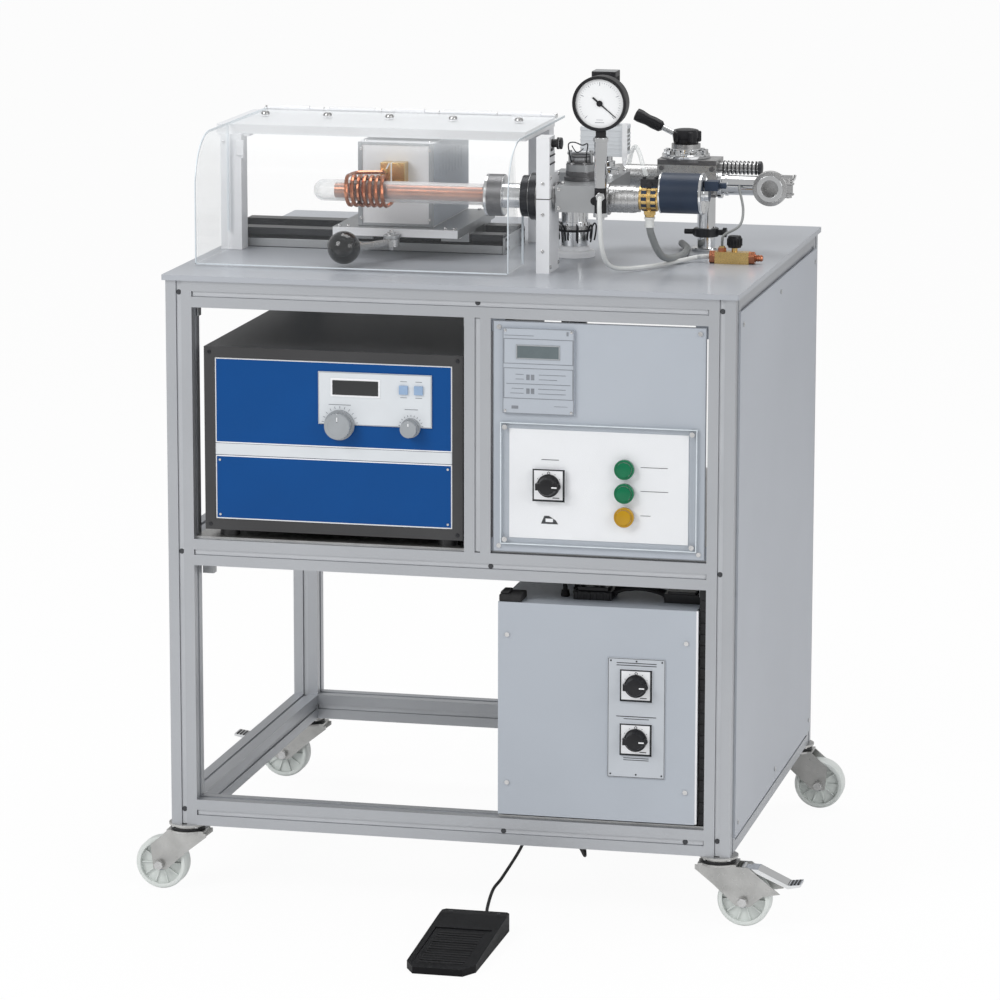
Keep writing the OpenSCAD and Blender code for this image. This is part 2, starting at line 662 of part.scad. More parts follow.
module shield_2d() {
  translate([hood_front, table_z + sheet]) square([pin_y - hood_front, hood_h - sheet - hood_bend]);
  translate([hood_front + hood_bend, table_z + sheet]) square([pin_y - hood_front - hood_bend, hood_h - sheet]);
  translate([hood_front + hood_bend, hood_top - hood_bend]) circle(r = hood_bend, $fn = fine * 2);
}
end_reach = norm([pin_y - axis_y + neck_d / 2, pin_z - axis_z - neck_d / 2]) + 6;
module end_2d(back, reach) intersection() {
  shield_2d();
  difference() {
    translate([hood_front, table_z]) square([back - hood_front, hood_h]);
    translate([pin_y, pin_z]) circle(r = reach, $fn = fine * 2);
  }
}
module hood_shield() color(clear) cart() {
  translate([hood_left, 0, 0]) rotate([90, 0, 90]) linear_extrude(hood_w) difference() {
    intersection() {
      shield_2d();
      translate([hood_front, table_z]) square([hood_rear - hood_front, hood_h]);
    }
    translate([0, -shield_t]) shield_core();
  }
  translate([hood_left, 0, 0]) rotate([90, 0, 90]) linear_extrude(shield_t) end_2d(beam_front - 13, shield_t);
  translate([hood_right - shield_t, 0, 0]) rotate([90, 0, 90]) linear_extrude(shield_t) end_2d(axis_y + 30, end_reach);
  for (k = [1:2:knuckles - 1]) translate([hood_left + (k + 0.1) * knuckle_l, pin_y, pin_z]) {
    difference() {
      union() {
        rod_x(knuckle_d, knuckle_l * 0.8);
        translate([0, hood_rear - pin_y - pin_d / 2, -shield_t / 2]) cube([knuckle_l * 0.8, pin_d * 1.4, shield_t]);
      }
      translate([-1, 0, 0]) rod_x(pin_d + 2 * run_gap, knuckle_l);
    }
  }
}
module shield_core() {
  r = hood_bend - shield_t;
  translate([hood_front + shield_t, 0]) square([hood_rear, hood_top - hood_bend + shield_t]);
  translate([hood_front + hood_bend, 0]) square([hood_rear, hood_top]);
  translate([hood_front + hood_bend, hood_top - hood_bend + shield_t]) circle(r = r, $fn = fine * 2);
}

rail_x = -424;
rail_l = 436;
rail_ys = [318, 422];
box_x = -201;
box_y = 260;
box_z = table_z + rail_h + gap + sheet + car_t;
car_x = -236;
car_y = 237;
car_z = box_z - car_t;
shoe = 44;
hub_x = -140;
hub_y = 222;
hub_d = 24;
hub_h = 12;
arm = [-50, -92];
tab_t = 5;

module slide_rails() color(black) cart() for (y = rail_ys) translate([rail_x, y, table_z])
  rotate([90, 0, 90]) linear_extrude(rail_l) difference() {
    square([rail_w, rail_h]);
    for (x = [0, rail_w]) translate([x, rail_h / 2]) rotate(45) square(rail_w / 4, center = true);
  }

module carriage() color(alu) cart() {
  translate([car_x, car_y, car_z]) cube([car_w, car_d, car_t]);
  for (x = [car_x, car_x + car_w - shoe], y = rail_ys) translate([x, y - (shoe - rail_w) / 2, car_z - shoe / 3])
    difference() {
      cube([shoe, shoe, shoe / 3]);
      translate([-1, (shoe - rail_w) / 2 - run_gap, -shoe / 3])
        cube([shoe + 2, rail_w + 2 * run_gap, shoe / 3 + table_z + rail_h + run_gap - car_z + shoe / 3]);
    }
  translate([hub_x - hub_d / 2, hub_y, car_z]) cube([hub_d, car_y - hub_y + tab_t, tab_t]);
  translate([hub_x, hub_y, car_z]) rod_z(hub_d, tab_t);
  translate([hub_x, hub_y, car_z - hub_h - tab_t]) rod_z(hub_d / 3, hub_h + tab_t);
}

module clamp_lever() color(black) cart() translate([hub_x, hub_y, car_z - hub_h - gap]) {
  difference() {
    rod_z(hub_d, hub_h);
    translate([0, 0, -hub_h]) rod_z(hub_d / 3 + 2 * run_gap, 3 * hub_h);
  }
  difference() {
    rotate(atan2(arm.y, arm.x)) translate([hub_d * 0.4, 0, hub_h / 2]) rod_x(hub_h * 0.9, norm(arm) - hub_d * 0.4);
    translate([0, 0, -hub_h]) rod_z(hub_d / 3 + 2 * run_gap, 3 * hub_h);
  }
  translate([arm.x, arm.y, hub_h / 2 + 3]) sphere(d = ball_d, $fn = fine);
}

block_term = [-160, -142];
term_w = [15, 19];
term_y = 236;
term_z = axis_z - 3;
term_h = 38;
module output_box() color(pale) cart() translate([box_x, box_y, box_z]) difference() {
  cube([box_w, box_d, box_h]);
  translate([sheet, sheet, sheet]) cube([box_w - 2 * sheet, box_d - 2 * sheet, box_h - 2 * sheet]);
}

// Vector help and a round tube along a list of points.
function unit(v) = v / norm(v);
function heading(p, i) = unit(p[min(i + 1, len(p) - 1)] - p[max(i - 1, 0)]);
function square_to(u, t) = unit(u - (u * t) * t);
function sides(p) = [for (i = 0, u = square_to([0.13, 0.11, 1], heading(p, 0)); i < len(p);
  i = i + 1, u = i < len(p) ? square_to(u, heading(p, i)) : u) u];
module tube(p, d, n = 8) {
  s = sides(p);
  m = len(p);
  pts = [for (i = [0:m - 1], k = [0:n - 1]) let (t = heading(p, i), v = cross(t, s[i]), a = 360 * k / n)
    p[i] + d / 2 * (cos(a) * s[i] + sin(a) * v)];
  polyhedron(pts, concat(
    [[for (k = [0:n - 1]) k]],
    [for (i = [0:m - 2], k = [0:n - 1]) [i * n + k, (i + 1) * n + k, (i + 1) * n + (k + 1) % n, i * n + (k + 1) % n]],
    [[for (k = [n - 1:-1:0]) (m - 1) * n + k]]));
}
function bend(a, b, c, d, t) = 0.5 * ((2 * b) + (c - a) * t + (2 * a - 5 * b + 4 * c - d) * t * t
  + (3 * b - a - 3 * c + d) * t * t * t);
function route(p, n) = [for (i = [0:len(p) - 2], k = [0:n - 1])
  bend(p[max(i - 1, 0)], p[i], p[i + 1], p[min(i + 2, len(p) - 1)], k / n), p[len(p) - 1]];
function run_length(p) = len(p) < 2 ? 0 : lengths(p, 0);
function lengths(p, i) = i > len(p) - 2 ? 0 : norm(p[i + 1] - p[i]) + lengths(p, i + 1);

coil_x = -194;
coil_turns = coil_loops + 0.5;
coil_rings = 24;
coil_end = coil_x + coil_pitch * coil_turns;
function coil_at(a) = [coil_x + coil_pitch * a / 360, axis_y + coil_r * cos(a + 90), axis_z + coil_r * sin(a + 90)];
coil_path = concat(
  route([[block_term.x + 6, term_y + gap, axis_z + coil_r], [block_term.x + 6, term_y - coil_pipe, axis_z + coil_r],
    [block_term.x, term_y - 14, axis_z + coil_r], [block_term.x - 14, term_y - 18, axis_z + coil_r],
    [coil_x + 12, term_y - 20, axis_z + coil_r], [coil_x + 2, term_y - 28, axis_z + coil_r],
    [coil_x - 0.6, axis_y + 14, axis_z + coil_r]], 4),
  [for (k = [0:coil_turns * coil_rings]) coil_at(360 * k / coil_rings)],
  route([[coil_end + 0.6, axis_y + 12, axis_z - coil_r], [coil_end + 1, axis_y + 28, axis_z - coil_r + 3],
    [coil_end, axis_y + 40, axis_z - coil_r + 14], [coil_end, term_y - 14, axis_z + 2],
    [coil_end, term_y - coil_pipe, axis_z + 4], [coil_end, term_y + gap, axis_z + 4]], 3));
coil_gap = min([for (i = [0:len(coil_path) - 1], j = [i + coil_rings / 2:1:len(coil_path) - 1])
  norm(coil_path[i] - coil_path[j])]) - coil_pipe;
echo(coil_gap = coil_gap);
module induction_coil() color(copper) cart() {
  tube(coil_path, coil_pipe, 6);
  for (k = [0, 1]) translate([block_term[k], term_y + gap, term_z]) cube([term_w[k], box_y - term_y - gap, term_h]);
}

flange_x = 21;
flange_l = 27;
tube_end = flange_x + 10;
module crucible_tube() color(copper) cart() translate([tube_end, axis_y, axis_z]) rotate([0, -90, 0])
  rotate_extrude($fn = fine) polygon([
    [crucible_d / 2 - crucible_wall, 0], [crucible_d / 2, 0], [crucible_d / 2, crucible_l + flange_l / 3],
    [0, crucible_l + flange_l / 3], [0, crucible_l + flange_l / 3 - crucible_wall],
    [crucible_d / 2 - crucible_wall, crucible_l + flange_l / 3 - crucible_wall]]);

quartz_all = quartz_l + tube_end - flange_x;
module quartz_tube() color(clear) cart() translate([tube_end, axis_y, axis_z]) rotate([0, -90, 0])
  rotate_extrude($fn = fine) difference() {
    intersection() {
      union() {
        square([quartz_d / 2, quartz_all - quartz_d / 2]);
        translate([0, quartz_all - quartz_d / 2]) circle(d = quartz_d, $fn = fine);
      }
      square([quartz_d, quartz_all]);
    }
    translate([-eps, -eps]) square([quartz_d / 2 - quartz_wall + eps, quartz_all - quartz_d / 2 + eps]);
    translate([0, quartz_all - quartz_d / 2]) circle(d = quartz_d - 2 * quartz_wall, $fn = fine);
  }

module tube_stand() color(pale) cart() translate([stand_x, axis_y - stand_d / 2, 0]) {
  difference() {
    union() {
      translate([0, 0, table_z]) cube([stand_w, stand_d, axis_z - gap - table_z]);
      translate([0, 0, axis_z + gap]) cube([stand_w, stand_d, stand_top - axis_z - gap]);
    }
    translate([-stand_w, stand_d / 2, axis_z]) rod_x(neck_d + 2 * gap, 3 * stand_w);
  }
  translate([0, 0, stand_top]) cube([stand_w, hood_post * 1.1, hood_post * 1.7]);
  translate([stand_w, hood_post / 2, stand_top + hood_post * 1.4]) rod_x(hood_post / 3, hood_post / 4);
  translate([stand_w + hood_post / 4, hood_post / 2, stand_top + hood_post * 1.4]) rod_x(hood_post / 2, hood_post / 5);
}

trans_x = 174;
trans_y = 300;
trans_w = 66;
head_w = 36;
stack_x = 152;
stack_y = 225;
module vacuum_block() color(alu) cart() {
  top = axis_z + block_h / 2;
  translate([block_x, block_y, axis_z - block_h / 2]) cube([block_w, block_l, block_h]);
  translate([pump_line_x - pipe_d * 0.65, pump_line_y - pipe_d * 0.65, axis_z - block_h / 2])
    cube([block_x - pump_line_x + pipe_d, pipe_d * 1.2, block_h]);
  translate([stack_x, stack_y, top]) {
    rod_z(pipe_d + 4, pipe_d * 0.6);
    translate([0, 0, pipe_d * 0.6]) rod_z(pipe_d * 0.7, pipe_d / 4);
    for (x = [-1, 1]) translate([x * pipe_d * 0.4, 0, pipe_d * 0.6]) rod_z(pipe_d / 7, pipe_d / 2);
    translate([-pipe_d * 0.5, 0, pipe_d]) rod_x(pipe_d / 7, pipe_d);
  }
  translate([trans_x, trans_y, top]) {
    rod_z(pipe_d, pipe_d / 4);
    rod_z(pipe_d / 2, pipe_d * 0.75);
    translate([-trans_w / 2, -trans_w * 0.38, pipe_d * 0.75]) cube([trans_w, trans_w * 0.76, pipe_d * 1.1]);
    translate([-head_w / 2, -head_w * 0.45, pipe_d * 1.85]) cube([head_w, head_w * 0.9, head_w * 2.3]);
  }
}

pipe_y = 440;
valve_x = 231;
valve_w = 92;
valve_d = 60;
valve_h = 56;
port_x = 408;
port_y = 405;
port_z = axis_z - 9;
port_l = 30;
bonnet_d = 72;
bonnet_x = 270;
valve_top = axis_z + 30;
elbow_d = 29;
rod_x0 = 304;
rod_y0 = 442;
module pipe_line() color(steel) cart() {
  difference() {
    translate([flange_x, axis_y, axis_z]) rod_x(flange_d, flange_l);
    translate([flange_x - flange_l, axis_y, axis_z]) rod_x(quartz_d + 2 * gap, flange_l + tube_end - flange_x);
  }
  translate([flange_x + flange_l, axis_y, axis_z]) rod_x(neck_d, block_x - flange_x - flange_l);
  for (k = [0, 1]) translate([stand_x - 1 - (k + 1) * 13, axis_y, axis_z]) rod_x(flange2_d - 8 * k, 13);
  translate([block_x + block_w, axis_y, axis_z]) {
    rod_x(pipe_d - 2, 52);
    translate([6, 0, 0]) rod_x(pipe_d, 40);
    rod_x(pipe_d + 8, 6);
  }
  translate([pump_line_x, pump_line_y, pump_z + pump_h]) rod_z(pipe_d, axis_z - block_h / 2 - pump_z - pump_h);
  translate([pump_line_x, pump_line_y, table_z]) rod_z(pump_hole + 12, 8);
  translate([pump_line_x, pump_line_y, table_z + 40]) rod_z(pipe_d + 12, 9);
  translate([block_x + block_w / 2, block_y + block_l, axis_z]) {
    rod_y(pipe_d - 4, pipe_y + 8 - block_y - block_l);
    translate([0, pipe_y + 8 - block_y - block_l, 0]) {
      sphere(d = pipe_d - 4, $fn = mid);
      rod_x(pipe_d - 4, valve_x - block_x - block_w / 2);
    }
  }
  translate([valve_x, pipe_y + 8 - valve_d / 2, valve_top - valve_h]) cube([valve_w, valve_d, valve_h]);
  translate([bonnet_x, pipe_y + 8, valve_top]) {
    rod_z(bonnet_d, 7);
    rod_z(bonnet_d * 0.62, 22);
    for (a = [0:60:300]) rotate(a) translate([bonnet_d * 0.42, 0, 7]) cylinder(d = 8, h = 5, $fn = 6);
  }
  translate([valve_x + valve_w, pipe_y + 24, axis_z + 15]) {
    rod_x(16, 58);
    for (k = [0:8]) translate([4 + 6 * k, 0, 0]) rod_x(20, 3);
    sphere(d = 8, $fn = mid);
  }
  translate([valve_x + valve_w, pipe_y, port_z]) rod_x(elbow_d + 12, 6);
  difference() {
    union() {
      translate([valve_x + valve_w, pipe_y, port_z]) rod_x(elbow_d, port_x - valve_x - valve_w);
      translate([port_x, pipe_y, port_z]) sphere(d = elbow_d, $fn = mid);
      translate([port_x, port_y, port_z]) {
        rod_y(elbow_d, pipe_y - port_y);
        rod_y(port_flange_d, 5);
        translate([0, 1.5, 0]) rod_y(port_flange_d + 12, 11);
        translate([port_flange_d / 2, 1.5, -6]) cube([14, 11, 12]);
        translate([port_flange_d / 2 + 4, 7, 6]) rod_z(6, 14);
        translate([port_flange_d / 2 - 4, 4, 14]) cube([18, 6, 7]);
      }
    }
    translate([port_x, port_y - port_l, port_z]) rotate([-90, 0, 0]) cylinder(d = port_d, h = 2 * port_l, $fn = fine);
  }
  translate([rod_x0, rod_y0, table_z]) {
    rod_z(rod_d, port_z - table_z);
    rod_z(rod_d + 16, 4);
    translate([0, 0, 22]) rod_z(rod_d + 10, 12);
  }
}

brass_x = 254;
solenoid_x = 285;
solenoid_l = 65;
module solenoid_valve() color([0.08, 0.13, 0.25]) cart() {
  translate([brass_x, axis_y, axis_z + 3]) {
    rod_x(pipe_d - 4, solenoid_x - brass_x);
    translate([4, 0, 0]) rod_x(pipe_d, 8);
    translate([18, 0, 0]) rod_x(pipe_d, 8);
    translate([14, 0, -pipe_d * 0.7]) rod_z(14, pipe_d / 2);
    translate([2, -8, pipe_d * 0.35]) cube([26, 22, 14]);
  }
  translate([solenoid_x, axis_y, axis_z + 11]) {
    rod_x(60, solenoid_l);
    translate([solenoid_l, 0, 0]) rod_x(22, 8);
  }
}

gauge_x = 201;
gauge_y = 135;
gauge_tube_d = 18;
gauge_stem = 96;
gauge_foot = 10;
gauge_tube_top = axis_z + gauge_stem;
gauge_z = gauge_tube_top + gauge_foot + gauge_d / 2;
gauge_t = 28;
gauge_rim = 4;
dial_y = gauge_y - gauge_t / 2 + gauge_rim;
module gauge_case() color(black) cart() {
  translate([gauge_x, gauge_y, axis_z - block_h / 2]) rod_z(gauge_tube_d, gauge_tube_top - axis_z + block_h / 2);
  translate([gauge_x - gauge_tube_d / 2, gauge_y, axis_z]) rod_y(gauge_tube_d * 0.7, block_y - gauge_y);
  translate([gauge_x, gauge_y, gauge_tube_top]) rod_z(gauge_tube_d * 0.7, 14);
  translate([gauge_x, gauge_y, gauge_z]) difference() {
    translate([0, gauge_t / 2, 0]) disc_y(gauge_d, gauge_t);
    translate([0, -gauge_t / 2 + gauge_rim, 0]) disc_y(gauge_d - 2 * gauge_rim, gauge_t);
  }
}

needle_y = dial_y - gap;
module gauge_needle() color(black) cart() translate([gauge_x, needle_y, gauge_z]) {
  disc_y(gauge_d / 9, 2);
  rotate([90, 0, 0]) linear_extrude(1) rotate(-40) polygon([
    [-gauge_d / 6, gauge_d / 60], [gauge_d * 0.4, gauge_d / 160], [gauge_d * 0.4, -gauge_d / 160],
    [-gauge_d / 6, -gauge_d / 60]]);
}

lever_turn = 180;
lever_tilt = 25;
module valve_lever() color(black) cart() translate([bonnet_x, pipe_y + 8, valve_top + 22 + gap]) {
  rod_z(36, 20);
  rotate(lever_turn) translate([12, 0, 12]) rotate([0, -lever_tilt, 0]) {
    rod_x(8, 46);
    translate([30, -8, -6]) cube([42, 16, 12]);
  }
}

mani_x = 335;
mani_l = 68;
mani_y = 309;
mani_d = 18;
mani_knob_x = 372;
module brass_manifold() color([0.78, 0.62, 0.3]) cart() translate([mani_x, mani_y, table_z]) {
  translate([8, -mani_d / 2, 0]) cube([mani_l - 16, mani_d, mani_d]);
  for (x = [0, mani_l - 8]) translate([x, 0, mani_d / 2]) rotate([0, 90, 0]) cylinder(d = mani_d * 0.95, h = 8, $fn = 6);
  translate([mani_knob_x - mani_x, 0, mani_d]) rod_z(mani_d / 2, 6);
  translate([18, 0, mani_d]) rod_z(mani_d / 2, 8);
}
module manifold_knob() color(black) cart() translate([mani_knob_x, mani_y, table_z + mani_d + 6 + gap]) {
  rod_z(19, 17);
  translate([0, 0, 3]) cylinder(d = 22, h = 10, $fn = 12);
}

module hose(p, d = hose_d) tube(route(p, 5), d, 8);
module hoses() color(pale) cart() {
  hose([[gauge_x + 2, gauge_y - 9.1, axis_z + 8], [gauge_x + 2, gauge_y - 17, axis_z + 2], [gauge_x + 3, gauge_y - 20, axis_z - 18],
    [gauge_x + 6, gauge_y - 10, table_z + 36], [gauge_x + 18, gauge_y + 20, table_z + 10],
    [gauge_x + 60, gauge_y + 80, table_z + 5], [mani_x - 30, mani_y - 6, table_z + 6],
    [mani_x - 12, mani_y, table_z + mani_d / 2], [mani_x - gap, mani_y, table_z + mani_d / 2]]);
  hose([[brass_x + 14, axis_y, axis_z - 25.5], [brass_x + 14, axis_y, axis_z - 38], [brass_x + 16, axis_y + 5, axis_z - 54],
    [brass_x + 24, axis_y + 24, axis_z - 82], [brass_x + 30, axis_y + 60, table_z + 16], [brass_x + 34, axis_y + 150, table_z + 8],
    [brass_x + 30, axis_y + 220, table_z + 8], [rod_x0 - 40, rod_y0 + 10, table_z + 8]], 11);
  hose([[port_x - 50, pipe_y - 14.8, port_z], [port_x - 48, pipe_y - 26, port_z - 3], [port_x - 36, pipe_y - 60, port_z - 30],
    [port_x - 36, mani_y + 40, table_z + 52], [mani_x + 20, mani_y + 8, table_z + 42],
    [mani_x + 18, mani_y, table_z + 34], [mani_x + 18, mani_y, table_z + 26.2]], 4);
  for (k = [0:4]) let (x = cab_x - 60 + 14 * k, y = cab_y + 60 + 20 * (k % 2), z = cab_z + cab_h) {
    translate([x, y, z]) rod_z(12, 10);
    hose([[x, y, z + 10], [x, y, z + 22], [x + 2, y + 4, z + 38], [x + 2, y + 4, mid_top]], hose_d + k % 2);
  }
}

gland_x = 150;
gland_y = 250;
gland_d = 14;
gland_l = 14;
foot_y = -foot_reach;
foot_z = -caster_h;
foot_slope = atan2(foot_h - foot_front_h, foot_l);
treadle_l = 150;
treadle_w = 84;
treadle_t = 3;
treadle_front = 14;
treadle_travel = 2.2;
treadle_z = foot_front_h - treadle_t + treadle_front * tan(foot_slope);
module foot_base() color(black) cart() translate([foot_x, foot_y, foot_z]) difference() {
  intersection() {
    translate([-foot_w / 2, 0, 0]) rotate([90, 0, 90]) linear_extrude(foot_w)
      polygon([[0, 0], [foot_l, 0], [foot_l, foot_h - 4], [foot_l - 4, foot_h], [foot_l * 0.9, foot_h], [0, foot_front_h]]);
    linear_extrude(foot_h) polygon([
      [-foot_w / 2, 24], [-foot_w / 2 + 14, 0], [foot_w / 2 - 14, 0], [foot_w / 2, 24],
      [foot_w / 2, foot_l - 10], [foot_w / 2 - 8, foot_l], [-foot_w / 2 + 8, foot_l], [-foot_w / 2, foot_l - 10]]);
  }
  translate([-treadle_w / 2 - gap, treadle_front - gap, 0]) rotate([90, 0, 90]) linear_extrude(treadle_w + 2 * gap) polygon([
    [0, foot_h], [0, treadle_z - 1], [treadle_l + 2 * gap, treadle_z + treadle_l * sin(foot_slope - treadle_travel) - 1],
    [treadle_l + 2 * gap, foot_h]]);
}
groove = treadle_t / 2;
module foot_treadle() color(black) cart()
  translate([foot_x - treadle_w / 2, foot_y + treadle_front + treadle_t / 2, foot_z + treadle_z + treadle_t / 2])
  rotate([foot_slope, 0, 0]) difference() {
    union() {
      rod_x(treadle_t, treadle_w);
      translate([0, 0, -treadle_t / 2]) cube([treadle_w, treadle_l - treadle_t / 2, treadle_t]);
    }
    for (k = [1:9]) translate([treadle_w * 0.1, k * treadle_l / 10, treadle_t * 0.2]) cube([treadle_w * 0.8, groove, treadle_t]);
  }

// The free cable: out of the foot switch, back over the floor, a coil under the cart, up to its gland.
cable_z = foot_z + cable_d / 2;
coil_c = [40, 560];
spare_pitch = cable_d + 0.6;
spare_turns = 5.5;
spare_rings = 24;
spare_out = spare_r + spare_pitch * spare_turns / 2;
function on_floor(path) = [for (p = path) [p.x, p.y, max(p.z, cable_z)]];
run_path = on_floor(route([
  [foot_x + 8, foot_y + foot_l + gap, cable_z + 6], [foot_x + 8, foot_y + foot_l + 10, cable_z + 6],
  [foot_x + 7, foot_y + foot_l + 28, cable_z + 4.5], [foot_x + 3, foot_y + foot_l + 52, cable_z + 1],
  [60, 8, cable_z], [46, 107, cable_z], [44, 184, cable_z], [32, 376, cable_z], [10, 480, cable_z],
  [coil_c.x - spare_out, 530, cable_z], [coil_c.x - spare_out, coil_c.y, cable_z]], 7));
// Two layers: inwards on the floor, up in half a turn, outwards on top.
function spare_radius(u) = spare_r + spare_pitch * abs(u - spare_turns / 2);
function spare_layer(u) = max(0, min(1, 2 * (u - spare_turns / 2) + 0.5));
function spare_at(u) = [coil_c.x - spare_radius(u) * cos(360 * u), coil_c.y + spare_radius(u) * sin(360 * u),
  cable_z + spare_pitch * spare_layer(u)];
coil_run = [for (k = [0:spare_turns * spare_rings]) spare_at(k / spare_rings)];
spare_end = spare_at(spare_turns);
spare_gap = min([for (i = [0:len(coil_run) - 1], j = [i + spare_rings / 2:1:len(coil_run) - 1])
  norm(coil_run[i] - coil_run[j])]) - cable_d;
echo(spare_gap = spare_gap);
rise_path = on_floor(route([spare_end, spare_end + [0, -12, 0], [78, 520, cable_z + 3], [85, 480, cable_z],
  [104, 430, cable_z], [130, 360, cable_z], [145, 314, cable_z + 4], [151, 284, cable_z + 22],
  [152, 264, cable_z + 52], [151, 253, cable_z + 86], [150, gland_y, cable_z + 112],
  [gland_x, gland_y, profile - gland_l - gap]], 6));
cable_total = run_length(run_path) + run_length(coil_run) + run_length(rise_path);
echo(cable_total = cable_total);
module cable_run() color(black) cart() tube(run_path, cable_d);
module cable_coil() color(black) cart() tube(coil_run, cable_d, 6);
module cable_rise() color(black) cart() tube(rise_path, cable_d);

frame_uprights();
frame_rails();
table_top();
side_panel();
shelf_plates();
generator_case();
generator_panels();
control_inset();
power_knob();
timer_knob();
left_key();
right_key();
control_panel();
label_plates();
clear_cover();
cover_screws();
switch_plates();
main_switch();
upper_switch();
lower_switch();
top_button();
middle_button();
low_button();
switch_cabinet();
vacuum_pump();
caster_heads();
fork_front_left();
fork_front_right();
fork_rear_left();
fork_rear_right();
wheel_front_left();
wheel_front_right();
wheel_rear_left();
wheel_rear_right();
brake_front_right();
brake_rear_left();
hood_frame();
hood_shield();
slide_rails();
carriage();
output_box();
induction_coil();
clamp_lever();
crucible_tube();
quartz_tube();
tube_stand();
vacuum_block();
pipe_line();
solenoid_valve();
gauge_case();
gauge_needle();
valve_lever();
brass_manifold();
manifold_knob();
hoses();
foot_base();
foot_treadle();
cable_run();
cable_coil();
cable_rise();
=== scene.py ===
import bpy
import bmesh
from math import cos, pi, radians, sin, tan
from mathutils import Matrix, Vector


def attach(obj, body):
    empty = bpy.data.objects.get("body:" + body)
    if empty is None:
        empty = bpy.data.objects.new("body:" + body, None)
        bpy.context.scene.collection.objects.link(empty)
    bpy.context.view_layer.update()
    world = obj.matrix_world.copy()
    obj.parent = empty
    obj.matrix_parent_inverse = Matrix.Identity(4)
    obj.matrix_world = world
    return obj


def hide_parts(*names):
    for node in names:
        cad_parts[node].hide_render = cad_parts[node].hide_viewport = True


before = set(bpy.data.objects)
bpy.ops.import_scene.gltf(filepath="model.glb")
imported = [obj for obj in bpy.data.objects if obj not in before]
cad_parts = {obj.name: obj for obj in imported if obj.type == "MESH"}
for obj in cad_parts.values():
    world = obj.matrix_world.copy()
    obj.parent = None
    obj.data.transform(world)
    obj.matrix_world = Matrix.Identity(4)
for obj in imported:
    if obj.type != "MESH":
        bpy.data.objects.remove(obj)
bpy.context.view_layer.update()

# all lengths below are millimetres from the posts' front plane and feet, unless a name says otherwise
FRONT_M, FEET_M = -0.2055, 0.105        # that plane and those feet in the row frame, in metres
TOP = 842.0                             # the table's top face
AXY, AXZ = 172.0, 953.0                 # the tube's axis
POST_X = (-430, 390)                    # left faces of the left and right posts
POST_Y = (0, 700)                       # front faces of the front and rear posts
POST_TOP = 834
CASTER_X, AXLE = 410, -65.0
LEFT, RIGHT, FRONT, BACK, UP, DOWN = (-1, 0, 0), (1, 0, 0), (0, -1, 0), (0, 1, 0), (0, 0, 1), (0, 0, -1)


def P(x, y, z):
    """A point of the cart, in the row frame."""
    return Vector((x / 1000, y / 1000 + FRONT_M, z / 1000 + FEET_M))


def unit(deg):
    return cos(radians(deg)), sin(radians(deg))


def around(n, step, start=0):
    """n directions, step degrees apart."""
    return [unit(start + step * k) for k in range(n)]


# ---- camera
YAW, PITCH_DOWN, ROLL = 0.22550247, 0.19379825, 0.0015149
LENS, CAMERA_AT = 168.605, (1594.117, -6598.562, 1852.515)


def make_camera():
    """The photograph's camera, fitted to 13 corners of the cart."""
    yaw, pitch, roll = YAW, PITCH_DOWN, ROLL
    fwd = Vector((-sin(yaw) * cos(pitch), cos(yaw) * cos(pitch), -sin(pitch)))
    right = Vector((cos(yaw), sin(yaw), 0))
    up = right.cross(fwd)
    r2 = cos(roll) * right + sin(roll) * up
    u2 = -sin(roll) * right + cos(roll) * up
    data = bpy.data.cameras.new("camera")
    data.sensor_width = 36
    data.lens = LENS
    data.clip_end = 200
    cam = bpy.data.objects.new("camera", data)
    bpy.context.scene.collection.objects.link(cam)
    m = Matrix((r2, u2, -fwd)).transposed().to_4x4()
    m.translation = P(*CAMERA_AT)
    cam.matrix_world = m
    bpy.context.scene.camera = cam


make_camera()


# ---- materials
def shader(name):
    m = bpy.data.materials.new(name)
    m.use_nodes = True
    t = m.node_tree
    return m, t, t.nodes["Principled BSDF"]


def node(t, kind, **values):
    """A new node; an underline in a value's name stands for a space in its input's name."""
    n = t.nodes.new("ShaderNode" + kind)
    for k, v in values.items():
        n.inputs[k.replace("_", " ")].default_value = v
    return n


def noise(t, scale, detail=3):
    n = node(t, "TexNoise", Scale=scale, Detail=detail)
    t.links.new(node(t, "TexCoord").outputs["Object"], n.inputs["Vector"])
    return n.outputs["Fac"]


def span(t, fac, lo, hi, a=0.3, b=0.7):
    r = node(t, "MapRange", From_Min=a, From_Max=b, To_Min=lo, To_Max=hi)
    t.links.new(fac, r.inputs["Value"])
    return r.outputs["Result"]


def blend2(t, fac, c1, c2):
    m = t.nodes.new("ShaderNodeMix")
    m.data_type = "RGBA"
    m.inputs["A"].default_value = (*c1, 1)
    m.inputs["B"].default_value = (*c2, 1)
    t.links.new(fac, m.inputs["Factor"])
    return m.outputs["Result"]


